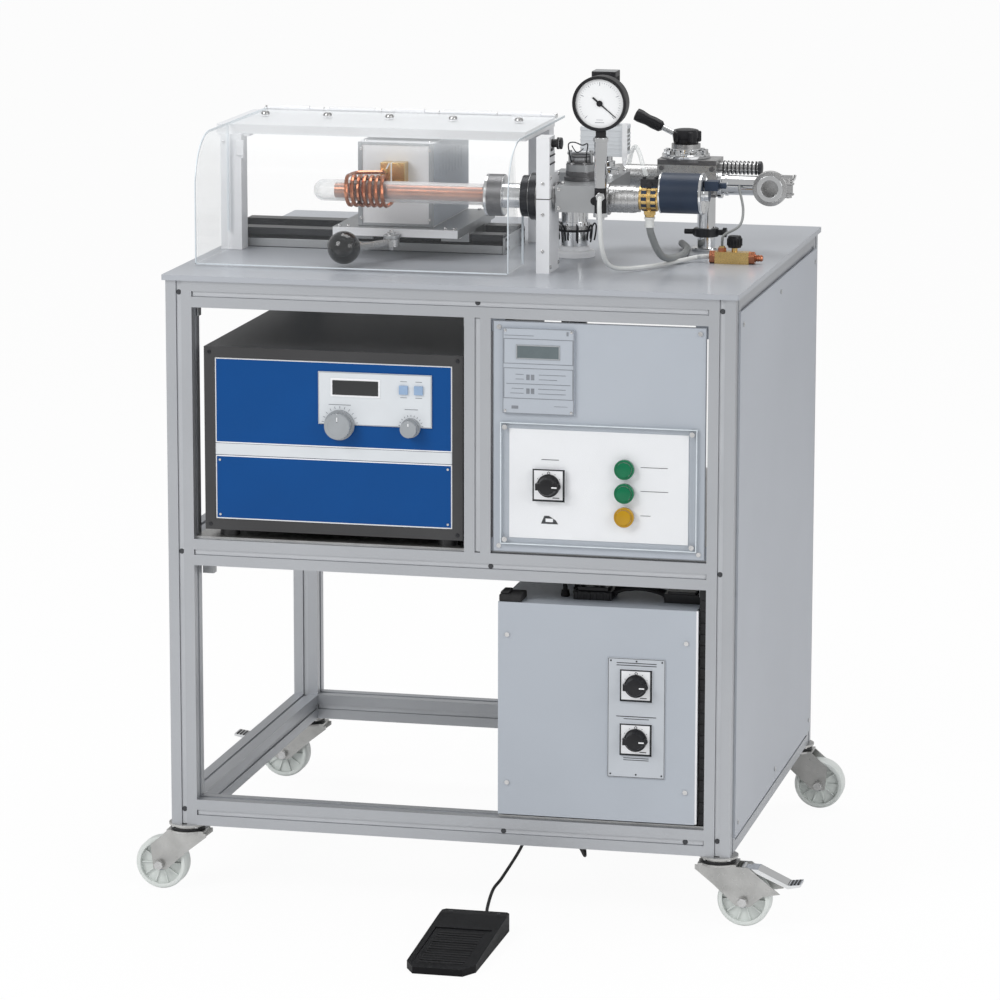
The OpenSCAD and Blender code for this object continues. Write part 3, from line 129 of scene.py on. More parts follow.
def material(name, color, rough=0.5, metal=0.0, var=0.06, patch=6, rvar=0.08, bump=0.05,
             grain=900, coat=0.0, spec=None, other=None):
    """A surface with cloudy colour, uneven gloss and a fine relief."""
    m, t, b = shader(name)
    big = noise(t, patch, 4)
    c2 = other or tuple(min(1, c * (1 + var)) for c in color)
    c1 = tuple(c * (1 - var) for c in color)
    t.links.new(blend2(t, span(t, big, 0, 1), c1, c2), b.inputs["Base Color"])
    fine = noise(t, grain)
    t.links.new(span(t, fine, rough - rvar, rough + rvar), b.inputs["Roughness"])
    b.inputs["Metallic"].default_value = metal
    if coat:
        b.inputs["Coat Weight"].default_value = coat
        b.inputs["Coat Roughness"].default_value = 0.12
    if spec is not None:
        b.inputs["Specular IOR Level"].default_value = spec
    if bump:
        bp = node(t, "Bump", Strength=bump, Distance=0.0004)
        t.links.new(fine, bp.inputs["Height"])
        t.links.new(bp.outputs["Normal"], b.inputs["Normal"])
    return m


def clear(name, tint, low, high, rough=0.04):
    """A clear sheet: nearly invisible face on, brighter where it turns away."""
    m, t, b = shader(name)
    b.inputs["Base Color"].default_value = (*tint, 1)
    b.inputs["IOR"].default_value = 1.49
    fine = noise(t, 40, 2)
    t.links.new(span(t, fine, rough, rough + 0.05), b.inputs["Roughness"])
    lw = node(t, "LayerWeight", Blend=0.25)
    t.links.new(span(t, lw.outputs["Facing"], low, high, 0.0, 1.0), b.inputs["Alpha"])
    return m


M = {
    "frame": material("anodised_aluminium", (0.47, 0.485, 0.51), 0.42, 0.75, 0.05, 3, 0.06, 0.05, 700),
    "table": material("table_paint", (0.4, 0.42, 0.455), 0.36, 0.0, 0.04, 3, 0.05, 0.1, 1100, coat=0.15),
    "panel": material("panel_paint", (0.43, 0.455, 0.5), 0.46, 0.0, 0.035, 3, 0.06, 0.12, 1300),
    "cover": material("cover_paint", (0.42, 0.455, 0.505), 0.46, 0.0, 0.035, 4, 0.06, 0.12, 1300),
    "zinc": material("zinc_plate", (0.5, 0.5, 0.49), 0.36, 0.9, 0.14, 30, 0.1, 0.05, 500),
    "bronze": material("case_paint", (0.062, 0.062, 0.064), 0.38, 0.35, 0.1, 8, 0.06, 0.22, 1600, spec=0.3),
    "blue": material("blue_paint", (0.0, 0.062, 0.245), 0.4, 0.0, 0.05, 8, 0.05, 0.12, 1400, spec=0.2),
    "lightgrey": material("light_plastic", (0.66, 0.69, 0.72), 0.42, 0.0, 0.03, 15, 0.05, 0.1, 1500),
    "knobgrey": material("knob_plastic", (0.33, 0.35, 0.37), 0.42, 0.0, 0.05, 40, 0.06, 0.1, 2200),
    "keyblue": material("key_plastic", (0.28, 0.4, 0.58), 0.4, 0.0, 0.05, 60, 0.05, 0.08, 2400),
    "white": material("label_plastic", (0.83, 0.84, 0.86), 0.36, 0.0, 0.02, 12, 0.05, 0.05, 1200),
    "whitepaint": material("white_paint", (0.8, 0.81, 0.83), 0.34, 0.0, 0.03, 8, 0.05, 0.12, 1400),
    "black": material("black_plastic", (0.014, 0.014, 0.016), 0.34, 0.0, 0.25, 30, 0.08, 0.1, 1800, spec=0.3),
    "blackmetal": material("black_steel", (0.028, 0.029, 0.033), 0.32, 0.4, 0.25, 20, 0.08, 0.06, 700),
    "ball": material("ball_gloss", (0.002, 0.002, 0.002), 0.05, 0.0, 0.1, 20, 0.02, 0.0, 300,
            coat=0.6, spec=0.3),
    "green": material("green_cap", (0.0, 0.15, 0.062), 0.26, 0.0, 0.08, 60, 0.05, 0.04, 1500,
            coat=0.3, spec=0.2),
    "yellow": material("yellow_cap", (0.45, 0.25, 0.006), 0.26, 0.0, 0.06, 60, 0.05, 0.04, 1500,
            coat=0.3, spec=0.2),
    "nylon": material("nylon", (0.7, 0.735, 0.715), 0.4, 0.0, 0.03, 25, 0.06, 0.06, 900),
    "chrome": material("chrome", (0.78, 0.79, 0.8), 0.1, 1.0, 0.04, 30, 0.05, 0.01, 400),
    "screw": material("screw_steel", (0.62, 0.62, 0.62), 0.25, 1.0, 0.1, 80, 0.08, 0.03, 900),
    "steel": material("turned_steel", (0.5, 0.5, 0.5), 0.3, 0.95, 0.1, 20, 0.08, 0.05, 600),
    "alu": material("machined_aluminium", (0.42, 0.43, 0.44), 0.38, 0.85, 0.08, 15, 0.08, 0.06, 800),
    "darksteel": material("dark_steel", (0.17, 0.17, 0.175), 0.34, 0.8, 0.15, 20, 0.1, 0.06, 700),
    "copper": material("copper", (0.42, 0.145, 0.075), 0.2, 1.0, 0.12, 40, 0.08, 0.03, 500,
            other=(0.62, 0.27, 0.16)),
    "brass": material("brass", (0.72, 0.5, 0.2), 0.27, 1.0, 0.12, 40, 0.09, 0.04, 700),
    "navy": material("navy_plastic", (0.022, 0.035, 0.062), 0.38, 0.0, 0.15, 20, 0.06, 0.08, 1500, spec=0.3),
    "hose": material("hose_white", (0.7, 0.71, 0.7), 0.34, 0.0, 0.04, 20, 0.06, 0.03, 600),
    "hosegrey": material("hose_grey", (0.22, 0.23, 0.23), 0.42, 0.0, 0.08, 20, 0.06, 0.05, 700),
    "rubber": material("rubber", (0.016, 0.016, 0.017), 0.55, 0.0, 0.2, 20, 0.06, 0.1, 900, spec=0.2),
    "footblack": material("foot_switch_plastic", (0.006, 0.006, 0.007), 0.5, 0.0, 0.3, 25, 0.07, 0.35, 1400,
            spec=0.15),
    "pump": material("pump_paint", (0.05, 0.058, 0.07), 0.42, 0.1, 0.12, 10, 0.07, 0.2, 1200, spec=0.3),
    "display": material("display_glass", (0.006, 0.007, 0.008), 0.08, 0.0, 0.2, 30, 0.02, 0.0, 300, coat=0.5),
    "lcd": material("lcd_glass", (0.11, 0.14, 0.15), 0.15, 0.0, 0.08, 60, 0.03, 0.0, 300, coat=0.4),
    "ink": material("ink", (0.03, 0.032, 0.036), 0.5, 0.0, 0.2, 60, 0.05, 0.0, 900, spec=0.2),
    "inkgrey": material("ink_grey", (0.22, 0.235, 0.26), 0.5, 0.0, 0.1, 60, 0.05, 0.0, 900, spec=0.3),
    "labelgrey": material("label_grey", (0.5, 0.53, 0.57), 0.4, 0.0, 0.02, 12, 0.05, 0.05, 1200),
    "dial": material("dial_white", (0.86, 0.87, 0.88), 0.38, 0.0, 0.015, 20, 0.03, 0.0, 900),
    "strip": material("slot_strip", (0.52, 0.535, 0.56), 0.5, 0.4, 0.05, 10, 0.06, 0.04, 900),
    "slot": material("slot_shadow", (0.07, 0.072, 0.078), 0.6, 0.2, 0.2, 30, 0.05, 0.0, 900, spec=0.2),
    "foam": material("foam", (0.02, 0.02, 0.021), 0.9, 0.0, 0.3, 120, 0.05, 0.6, 1500),
    "acrylic": clear("clear_acrylic", (0.92, 0.95, 0.97), 0.012, 0.42),
    # painted highlight: an opaque light colour that stands for the bright, lit edges of the clear sheets
    "acrylic_edge": material("acrylic_edge", (0.7, 0.76, 0.8), 0.25, 0.0, 0.06, 30, 0.08, 0.0, 900),
    "quartz": clear("quartz", (0.95, 0.97, 0.98), 0.1, 0.85, 0.02),
    "tube_clear": clear("clear_hose", (0.85, 0.88, 0.88), 0.25, 0.8, 0.1),
}

NODE_MATERIAL = {
    "frame": "frame_uprights frame_rails", "table": "table_top", "panel": "side_panel",
    "cover": "control_panel switch_cabinet",
    "zinc": "shelf_plates caster_heads fork_front_left fork_front_right fork_rear_left fork_rear_right",
    "bronze": "generator_case", "blue": "generator_panels", "lightgrey": "control_inset",
    "knobgrey": "power_knob timer_knob", "keyblue": "left_key right_key", "white": "label_plates switch_plates",
    "acrylic": "clear_cover hood_shield", "screw": "cover_screws",
    "black": "main_switch upper_switch lower_switch gauge_case gauge_needle valve_lever manifold_knob",
    "green": "top_button middle_button", "yellow": "low_button", "pump": "vacuum_pump",
    "steel": "pipe_line", "nylon": "wheel_front_left wheel_front_right wheel_rear_left wheel_rear_right",
    "whitepaint": "hood_frame tube_stand output_box", "blackmetal": "slide_rails",
    "alu": "carriage vacuum_block",
    "copper": "induction_coil crucible_tube", "ball": "clamp_lever", "quartz": "quartz_tube",
    "navy": "solenoid_valve", "brass": "brass_manifold", "hose": "hoses", "footblack": "foot_base foot_treadle",
    "chrome": "brake_front_right brake_rear_left",
}


# a record slot for the details of each material, where done() names no other; done() looks it up and keeps it
# nowhere
SLOT_OF = {key: slot for slot, keys in {
    "black_plastic": "rubber slot black display inkgrey lcd ink foam", "black_steel": "blackmetal",
    "brass": "brass", "chrome_plate": "chrome", "clear_acrylic": "acrylic_edge tube_clear",
    "copper": "copper", "frame_alu": "strip", "green_plastic": "green", "grey_plastic": "knobgrey",
    "hose_pvc": "hose", "label_white": "white dial", "light_plastic": "lightgrey", "machined_alu": "alu",
    "navy_plastic": "navy", "nylon": "nylon", "panel_grey": "labelgrey cover", "pump_paint": "pump",
    "screw_steel": "screw", "steel": "steel darksteel", "white_paint": "whitepaint",
    "yellow_plastic": "yellow",
}.items() for key in keys.split()}


def dress(node, key):
    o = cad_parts[node]
    if not o.material_slots:
        o.data.materials.append(M[key])
    for s in o.material_slots:
        s.material = M[key]


for key, names in NODE_MATERIAL.items():
    for n in names.split():
        dress(n, key)


# ---- mesh builder
class Build:
    """Collects the faces of one detail; done() makes its object and starts the next."""
    def __init__(self):
        self.bm = bmesh.new()

    def add(self, verts, faces):
        vs = [self.bm.verts.new(v) for v in verts]
        for f in faces:
            self.bm.faces.new([vs[i] for i in f])

    def box(self, x0, y0, z0, x1, y1, z1):
        c = [P(x, y, z) for z in (z0, z1) for y in (y0, y1) for x in (x0, x1)]
        self.add(c, [(0, 2, 3, 1), (4, 5, 7, 6), (0, 1, 5, 4), (2, 6, 7, 3), (0, 4, 6, 2), (1, 3, 7, 5)])
        return self

    def lathe(self, at, axis, profile, n=32, cap=True):
        """profile: (radius, distance along axis) pairs in millimetres; cap=False joins its end to its start."""
        w = Vector(axis).normalized()
        u = w.orthogonal().normalized()
        v = w.cross(u)
        c = P(*at)
        rings = []
        for r, h in profile:
            if r < 1e-6:
                rings.append([self.bm.verts.new(c + w * h / 1000)])
            else:
                rings.append([self.bm.verts.new(c + w * h / 1000 + r / 1000 * (
                    cos(a) * u + sin(a) * v)) for a in (2 * pi * k / n for k in range(n))])
        for a, b in zip(rings, rings[1:] + ([] if cap else rings[:1])):
            for k in range(n):
                j = (k + 1) % n
                q = [a[k % len(a)], a[j % len(a)], b[j % len(b)], b[k % len(b)]]
                q = [x for i, x in enumerate(q) if x not in q[:i]]
                if len(q) > 2:
                    self.bm.faces.new(q)
        if cap and len(rings[0]) > 1:
            self.bm.faces.new(rings[0][::-1])
        if cap and len(rings[-1]) > 1:
            self.bm.faces.new(rings[-1])
        return self

    def cyl(self, at, axis, d, l, n=32, edge=0.3):
        e = min(edge, d / 6, l / 3)
        return self.lathe(at, axis, [(d / 2 - e, 0), (d / 2, e), (d / 2, l - e), (d / 2 - e, l)], n)

    def ring(self, at, axis, d, bore, l, n=48):
        prof = [(bore / 2, 0), (d / 2, 0), (d / 2, l), (bore / 2, l)]
        return self.lathe(at, axis, prof, n, False)

    def tube(self, pts, d, n=12):
        q = [Vector(p) for p in pts]
        m = len(q)

        def head(i):
            return (q[min(i + 1, m - 1)] - q[max(i - 1, 0)]).normalized()
        u = head(0).orthogonal().normalized()
        rings = []
        for i in range(m):
            t = head(i)
            u = (u - u.dot(t) * t).normalized()
            v = t.cross(u)
            rings.append([self.bm.verts.new(q[i] + d / 2000 * (cos(a) * u + sin(a) * v))
                          for a in (2 * pi * k / n for k in range(n))])
        for a, b in zip(rings, rings[1:]):
            for k in range(n):
                self.bm.faces.new([a[k], a[(k + 1) % n], b[(k + 1) % n], b[k]])
        self.bm.faces.new(rings[0][::-1])
        self.bm.faces.new(rings[-1])
        return self

    def pipe(self, pts, d, n=12, per=8):
        """A tube on a smooth line through points of the cart."""
        return self.tube(curve_points([P(*p) for p in pts], per), d, n)

    def screw(self, at, axis, d, l):
        """A round head with a socket."""
        r = d / 2
        return self.lathe(at, axis, [(r * 0.96, 0), (r, l * 0.3), (r * 0.85, l * 0.9), (r * 0.7, l),
                (r * 0.42, l), (r * 0.36, l * 0.45), (0, l * 0.45)], 20)

    def screws(self, xs, ys, zs, axis, d, l):
        for x in xs:
            for y in ys:
                for z in zs:
                    self.screw((x, y, z), axis, d, l)
        return self

    def dash(self, x0, x1, z, y, w=0.7, t=0.3):
        """A printed line of width w on a plane that faces the front."""
        return self.box(x0, y - t, z - w / 2, x1, y + 0.05, z + w / 2)

    def hollow(self, x0, z0, x1, z1, y, w, t=0.3):
        """A printed frame of line width w on such a plane."""
        self.box(x0, y - t, z0, x1, y + 0.05, z0 + w).box(x0, y - t, z1 - w, x1, y + 0.05, z1)
        self.box(x0, y - t, z0 + w, x0 + w, y + 0.05, z1 - w)
        return self.box(x1 - w, y - t, z0 + w, x1, y + 0.05, z1 - w)

    def slab(self, pts, y0, y1):
        """A plate with this outline in x and z between two planes that face the front."""
        n = len(pts)
        self.add([P(x, y, z) for y in (y0, y1) for x, z in pts],
                 [range(n), range(2 * n - 1, n - 1, -1)]
                 + [(i, i + n, (i + 1) % n + n, (i + 1) % n) for i in range(n)])

    def spoke(self, cx, cz, a, r0, r1, y0, y1, w0, w1):
        """A bar from radius r0 to r1 at angle a, in a plane that faces the front, w0 to w1 half wide."""
        u, v = cos(a), sin(a)
        self.slab([(cx + r * u - w * v, cz + r * v + w * u)
                   for r, w in ((r0, -w0), (r1, -w1), (r1, w1), (r0, w0))], y0, y1)

    def hexagon(self, at, axis, across, l):
        return self.cyl(at, axis, across * 1.1547, l, 6, 0.25)

    def done(self, name, mat, body="cart", slot=None, bevel=0.0, smooth=30):
        bmesh.ops.recalc_face_normals(self.bm, faces=self.bm.faces)
        me = bpy.data.meshes.new(name)
        self.bm.to_mesh(me)
        self.bm.free()
        self.bm = bmesh.new()
        me.materials.append(M[mat])
        o = bpy.data.objects.new(name, me)
        bpy.context.scene.collection.objects.link(o)
        if bevel:
            b = o.modifiers.new("bevel", "BEVEL")
            b.width = bevel / 1000
            b.segments = 2
            b.limit_method = "ANGLE"
            b.angle_limit = radians(40)
        if smooth:
            for p in me.polygons:
                p.use_smooth = True
            me.set_sharp_from_angle(angle=radians(smooth))
        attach(o, body)
        slot = slot or SLOT_OF[mat]
        return o


b = Build()             # the one builder that all details use


def curve_points(pts, n=10):
    """Catmull-Rom points through the given ones."""
    q = [Vector(p) for p in pts]
    out = []
    for i in range(len(q) - 1):
        a, b, c, d = q[max(i - 1, 0)], q[i], q[i + 1], q[min(i + 2, len(q) - 1)]
        for k in range(n):
            t = k / n
            out.append(0.5 * ((2 * b) + (c - a) * t + (2 * a - 5 * b + 4 * c - d) * t * t
                              + (3 * b - a - 3 * c + d) * t ** 3))
    out.append(q[-1])
    return out


# ---- the foot switch's free cable
FOOT_X, FOOT_BACK, CABLE = 67.0, -88.0, 5.0
GROUND = -105.0 + CABLE / 2                     # the cable's axis where it lies on the floor
COIL = (40.0, 560.0)                            # the spare coil's middle
PITCH, TURNS, INNER = 5.6, 5.5, 22.0
PER_TURN, PER_SPAN = 36, 14                     # points in a turn, and between two points of the route
OUTER = INNER + PITCH * TURNS / 2


def cable_route():
    run = curve_points([
        (FOOT_X + 8, FOOT_BACK + 0.3, GROUND + 6), (FOOT_X + 8, FOOT_BACK + 10, GROUND + 6),
        (FOOT_X + 7, FOOT_BACK + 28, GROUND + 4.5), (FOOT_X + 3, FOOT_BACK + 52, GROUND + 1),
        (60, 8, GROUND), (46, 107, GROUND), (44, 184, GROUND), (32, 376, GROUND), (10, 480, GROUND),
        (COIL[0] - OUTER, 530, GROUND), (COIL[0] - OUTER, COIL[1], GROUND)], PER_SPAN)
    wound = []
    for k in range(int(TURNS * PER_TURN) + 1):
        u = k / PER_TURN
        r = INNER + PITCH * abs(u - TURNS / 2)
        up = max(0, min(1, 2 * (u - TURNS / 2) + 0.5))
        a = 2 * pi * u
        wound.append(Vector((COIL[0] - r * cos(a), COIL[1] + r * sin(a), GROUND + PITCH * up)))
    e = wound[-1]
    rise = curve_points([
        e, e + Vector((0, -12, 0)), (78, 520, GROUND + 3), (85, 480, GROUND), (104, 430, GROUND),
        (130, 360, GROUND), (145, 314, GROUND + 4), (151, 284, GROUND + 22), (152, 264, GROUND + 52),
        (151, 253, GROUND + 86), (150, 250, GROUND + 112), (150, 250, 25.7)], PER_SPAN)
    return [Vector((p.x, p.y, max(p.z, GROUND))) for p in run[:-1] + wound[:-1] + rise]


route = [P(*p) for p in cable_route()]
cable = b.tube(route, CABLE, 12).done("foot_cable", "rubber", slot="cable_rubber", smooth=60)
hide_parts("cable_run", "cable_coil", "cable_rise")


# ---- floor and light
def shown(t, lo, hi):
    """lo for rays that light the object, hi for those that show the background, also through clear sheets."""
    lp, most = node(t, "LightPath"), node(t, "Math")
    most.operation = "MAXIMUM"
    t.links.new(lp.outputs["Is Camera Ray"], most.inputs[0])
    t.links.new(lp.outputs["Is Transmission Ray"], most.inputs[1])
    return span(t, most.outputs[0], lo, hi, 0.0, 1.0)


# name, place, point it faces and size in metres, watts
LAMPS = (("key", (-2.6, -3.6, 3.6), (0, 0, 0.6), (2.4, 2.4), 118),
         ("fill", (3.6, -2.2, 2.4), (0, 0, 0.6), (2.4, 2.0), 46),
         ("top", (0.2, 1.0, 4.2), (0, 0, 0.8), (2.6, 2.2), 62))
FLOOR_WHITE, WORLD_LIGHT = 0.95, 0.5           # the floor's own white, and the world's light on the object


def make_stage():
    s = bpy.context.scene
    s.view_settings.view_transform = "Standard"
    m, t, b = shader("floor")
    b.inputs["Base Color"].default_value = (0.93, 0.93, 0.93, 1)
    b.inputs["Roughness"].default_value = 0.6
    b.inputs["Specular IOR Level"].default_value = 0.1
    e, mix = node(t, "Emission", Color=(1, 1, 1, 1)), node(t, "MixShader")
    t.links.new(shown(t, 0.0, FLOOR_WHITE), mix.inputs["Fac"])
    t.links.new(b.outputs["BSDF"], mix.inputs[1])
    t.links.new(e.outputs["Emission"], mix.inputs[2])
    t.links.new(mix.outputs["Shader"], t.nodes["Material Output"].inputs["Surface"])
    me = bpy.data.meshes.new("floor")
    half, z = 40, -0.0006
    me.from_pydata([(-half, -half, z), (half, -half, z), (half, half, z), (-half, half, z)], [], [(0, 1, 2, 3)])
    me.materials.append(m)
    o = bpy.data.objects.new("floor", me)
    s.collection.objects.link(o)

    w = bpy.data.worlds.new("world")
    s.world = w
    w.use_nodes = True
    t = w.node_tree
    bg = t.nodes["Background"]
    bg.inputs["Color"].default_value = (1, 1, 1, 1)
    t.links.new(shown(t, WORLD_LIGHT, 1.0), bg.inputs["Strength"])

    for name, at, look, size, power in LAMPS:
        d = bpy.data.lights.new(name, "AREA")
        d.shape = "RECTANGLE"
        d.size, d.size_y = size
        d.energy = power
        o = bpy.data.objects.new(name, d)
        o.location = at
        o.rotation_euler = (Vector(look) - Vector(at)).to_track_quat("-Z", "Y").to_euler()
        s.collection.objects.link(o)


make_stage()


# ---- frame
for x, z in ((-410, 816), (-410, 423), (-410, 24), (410, 816), (410, 427), (410, 24), (46, 816), (66, 423),
        (86, 20), (362, 20)):
    b.cyl((x, 9, z), FRONT, 7.8, 7, 20)
    b.cyl((x, 731, z), BACK, 7.8, 7, 20)
for y, z in ((20, 790), (20, 395), (720, 790), (720, 395)):
    for s in (-1, 1):
        b.cyl((s * 421, y, z), (s, 0, 0), 7.8, 7, 20)
b.done("frame_bolt_holes", "slot")
STRIP_DEPTHS = ((2.8, 4.0), (36.0, 37.2))       # in a bar's near and far slot
m0, m1 = 16.2, 23.8                             # a slot's mouth across the bar
for y0 in POST_Y:
    for x0 in POST_X:
        for a, c in STRIP_DEPTHS:
            b.box(x0 + m0, y0 + a, 1, x0 + m1, y0 + c, POST_TOP - 1)
            b.box(x0 + a, y0 + m0, 1, x0 + c, y0 + m1, POST_TOP - 1)
b.box(42.2, 2.8, 444, 49.8, 4.0, 793)
for z0 in (0, 403, 794):
    for y0 in POST_Y:
        for a, c in STRIP_DEPTHS:
            b.box(-389, y0 + a, z0 + m0, 389, y0 + c, z0 + m1)
        b.box(-389, y0 + m0, z0 + 36, 389, y0 + m1, z0 + 37.2)
    for x0 in POST_X:
        for a, c in STRIP_DEPTHS:
            b.box(x0 + a, 41, z0 + m0, x0 + c, 699, z0 + m1)
        b.box(x0 + m0, 41, z0 + 36, x0 + m1, 699, z0 + 37.2)
b.done("slot_strips", "strip", bevel=0.2)
for x in (-388, 20, 68, 386):
    for z in (786, 448):
        if x in (20, 68) or z == 786:
            b.box(min(x, x + 2), 22, z - 9, max(x, x + 2), 38, z + 9)
for x in (-390, 372):
    for y in (44, 682):
        b.box(x, y, 382, x + 18, y + 14, 402.4)
b.done("frame_brackets", "alu", bevel=0.6)

# ---- casters
WHEELS = (("front_left", -1, 20), ("front_right", 1, 20), ("rear_left", -1, 720), ("rear_right", 1, 720))
for name, s, cy in WHEELS:
    wx = CASTER_X * s + 40 * s
    for side in (-1, 1):
        for k in range(10):
            b.spoke(wx, AXLE, 2 * pi * k / 10, 12, 32, cy + side * 7, cy + side * 10.5, 1.1, 0.8)
        rim = [(33, 0), (33.6, 0.9), (36.4, 0.9), (37, 0)]
        b.lathe((wx, cy + side * 14.4, AXLE), (0, side, 0), rim, 48, False)
    b.done("wheel_ribs_" + name, "nylon", "wheel_" + name, bevel=0.25)
    for side in (-1, 1):
        b.ring((wx, cy + side * 15.9, AXLE), (0, side, 0), 21, 9.4, 0.8, 32)
    b.done("wheel_seals_" + name, "knobgrey", "wheel_" + name)
    b.hexagon((wx, cy + 24.2, AXLE), BACK, 12.6, 5.4).hexagon((wx, cy - 24.2, AXLE), FRONT, 12.6, 5.0)
    b.cyl((wx, cy + 29.5, AXLE), BACK, 7.6, 3)
    b.hexagon((CASTER_X * s, cy, -13.4), DOWN, 16, 5.2)
    b.done("fork_bolts_" + name, "screw", "fork_" + name, bevel=0.3)
    b.ring((CASTER_X * s, cy, -10.0), UP, 52, 46.4, 3.4)
    b.done("caster_seal_" + name, "black", bevel=0.3)
    for u, v in around(4, 90, 45):
        b.hexagon((CASTER_X * s + 25.2 * u, cy + 25.2 * v, -3), DOWN, 5, 2.4)
    b.done("caster_bolts_" + name, "screw")
for name, s, cy in (("front_right", 1, 20), ("rear_left", -1, 720)):
    for k in range(4):
        lx = 104 + 5.2 * k
        z = -37.0 + 0.135 * (lx - 104)
        x0, x1 = sorted((CASTER_X * s + s * lx, CASTER_X * s + s * (lx + 2.6)))
        b.box(x0, cy - 13, z - 1.4, x1, cy + 13, z + 0.1)
    b.done("pedal_grip_" + name, "black", "brake_" + name, bevel=0.3)

# ---- foot switch
b.lathe((75, -88.4, -96.5), BACK, [(6.2, 0), (6.6, 0.8), (6.2, 3), (5.6, 3.4), (5.8, 5.4), (5, 5.8),
        (5.2, 8), (4.4, 8.4), (4.5, 11), (3.6, 13)], 24)
b.done("foot_boot", "rubber")
for x, y in ((36, -306), (98, -306), (28, -106), (106, -106)):
    b.lathe((x, y, -105), UP, [(7, 0), (7.4, 0.6), (7.4, 1.6)], 24)
for x in (18.2, 115.8):
    s = -1 if x < 60 else 1
    for k in range(5):
        y = -290 + 40 * k
        z = -96.5 + 2.6 * k
        b.box(min(x, x + s * 0.45), y, z - 2.4, max(x, x + s * 0.45), y + 26, z + 0.6)
b.done("foot_feet", "rubber", bevel=0.2)
for x in (31, 103):
    b.screw((x, -105, -78.2), UP, 6, 0.9)
b.done("foot_screws", "blackmetal", slot="black_plastic")
for k in range(14):
    y = -316 + 9.6 * k
    z = -95.5 + 1.35 + tan(radians(3.89)) * (y + 322.5)
    b.box(34, y, z, 100, y + 4.6, z + 0.7)
b.done("treadle_grip", "rubber", "foot_treadle", bevel=0.3)

# ---- generator
KNOB_Z = 625                    # both knobs' axes
FX, FZ = -270, 610              # the rear fan's axis
b.box(-358, 9.4, 571.9, 6, 12.6, 589.2)
b.done("panel_strip", "lightgrey", bevel=0.5)
b.hollow(-357.6, 589.9, 5.6, 718.5, 10, 1.7)
b.hollow(-357.6, 474.5, 5.6, 571.1, 10, 1.7)
b.done("panel_borders", "white")
b.box(-179, 6.6, 667, -103, 7.7, 695)
b.done("display_frame", "white", slot="grey_plastic", bevel=0.6)
b.box(-176, 6.0, 670, -106, 7.2, 692)
b.done("display_window", "display", bevel=0.4)
for x in (-67.5, -44.5):
    b.dash(x - 5, x + 5, 693.5, 7.5, 0.8)
    b.dash(x - 5, x + 5, 669.5, 7.5, 0.8)
b.dash(-182, -148, 655, 7.5, 0.9)
b.dash(-66, -46, 652, 7.5, 0.9)
for cx, r0, r1 in ((-165, 24.5, 28), (-56.5, 16.5, 19)):
    for k in range(11):
        b.spoke(cx, KNOB_Z, radians(8 + 16.4 * k), r0, r1, 7.2, 7.55, 0.35, 0.35)
b.done("inset_marks", "inkgrey")
b.hollow(-197.6, 625.4, -25.4, 703.6, 7.5, 0.8)
b.done("inset_edge", "knobgrey")
for name, x, d in (("power_knob", -165, 45), ("timer_knob", -56.5, 29)):
    for k in range(24):
        a = 2 * pi * k / 24
        b.cyl((x + d * 0.427 * cos(a), 0.2, KNOB_Z + d * 0.427 * sin(a)), FRONT, 1.5, 9.4, 8, 0.4)
    b.ring((x, -10.6, KNOB_Z), FRONT, d * 0.8, d * 0.62, 0.5, 48)
    b.done(name + "_flutes", "knobgrey", name)
    b.box(x - 0.8, -10.9, KNOB_Z + d * 0.16, x + 0.8, -2.0, KNOB_Z + d * 0.415)
    b.done(name + "_mark", "white", name)
b.screws((-366, 14), (8,), (466, 727), FRONT, 6, 1.6)
for y in (60, 200, 340, 480):
    for x in (-374, 22):
        b.screw((x, y, 720), (1 if x > 0 else -1, 0, 0), 7, 1.8)
b.screws((-366, -240, -112, 14), (568,), (466, 727), BACK, 6, 1.6)
b.done("generator_screws", "blackmetal", slot="screw_steel")
# rear of the generator: fan guard, air slots, cooling water nipples, mains inlet
for d in (30, 56, 82, 108):
    b.ring((FX, 570.6, FZ), BACK, d + 2, d - 2, 1.8, 48)
for u, v in around(4, 45):
    b.tube([P(FX - 58 * u, 571.5, FZ - 58 * v), P(FX + 58 * u, 571.5, FZ + 58 * v)], 2.4, 8)
b.done("fan_guard", "screw")
b.cyl((FX, 567.6, FZ), BACK, 112, 1.2, 64)
for k in range(9):
    b.box(-160, 567.6, 560 + 11 * k, -40, 568.7, 565 + 11 * k)
b.done("air_openings", "slot")
NIPPLE = [(9, 0), (9, 5), (6, 5.5), (6, 8), (5, 8.5), (6, 12), (5, 12.5), (6, 16), (4.4, 19)]
for x in (-90, -50):
    b.lathe((x, 567.5, 500), BACK, NIPPLE, 24)
b.done("water_nipples", "brass")
b.box(-340, 567.6, 480, -292, 573, 512)
b.done("mains_inlet", "black", bevel=1.2)

# ---- control panel
b.hollow(69, 446, 387, 791, 3, 1.2, 0.25)
b.done("control_panel_edge", "inkgrey", slot="panel_grey")
b.hollow(84.7, 654.7, 191.3, 781.3, -2, 0.8)
b.hollow(86.0, 728.5, 190.0, 766.0, -2, 0.9)
b.hollow(86.0, 677.0, 190.0, 722.5, -2, 0.9)
b.dash(87, 131, 770.5, -2, 0.8)
for z, x0, x1 in ((713, 139, 179), (706, 139, 166), (699, 90, 186), (692, 138, 179), (685, 138, 179)):
    b.dash(x0, x1, z, -2, 0.8)
for z, x0, x1 in ((713, 104, 116), (706, 104, 116), (692, 98, 116), (685, 96, 116)):
    b.dash(x0, x1, z, -2, 0.7)
b.dash(162, 182, 667, -2, 0.6)
b.dash(98, 108, 664, -2, 4.5)
for z0 in (705, 684.5):
    for x0 in (120, 127):
        b.box(x0, -2.3, z0, x0 + 5, -1.95, z0 + 8)
b.box(180, -2.3, 772, 183, -1.95, 778)
b.done("module_print", "inkgrey")
b.hollow(104.4, 735.6, 170.4, 757.4, -2, 2.0, 0.9)
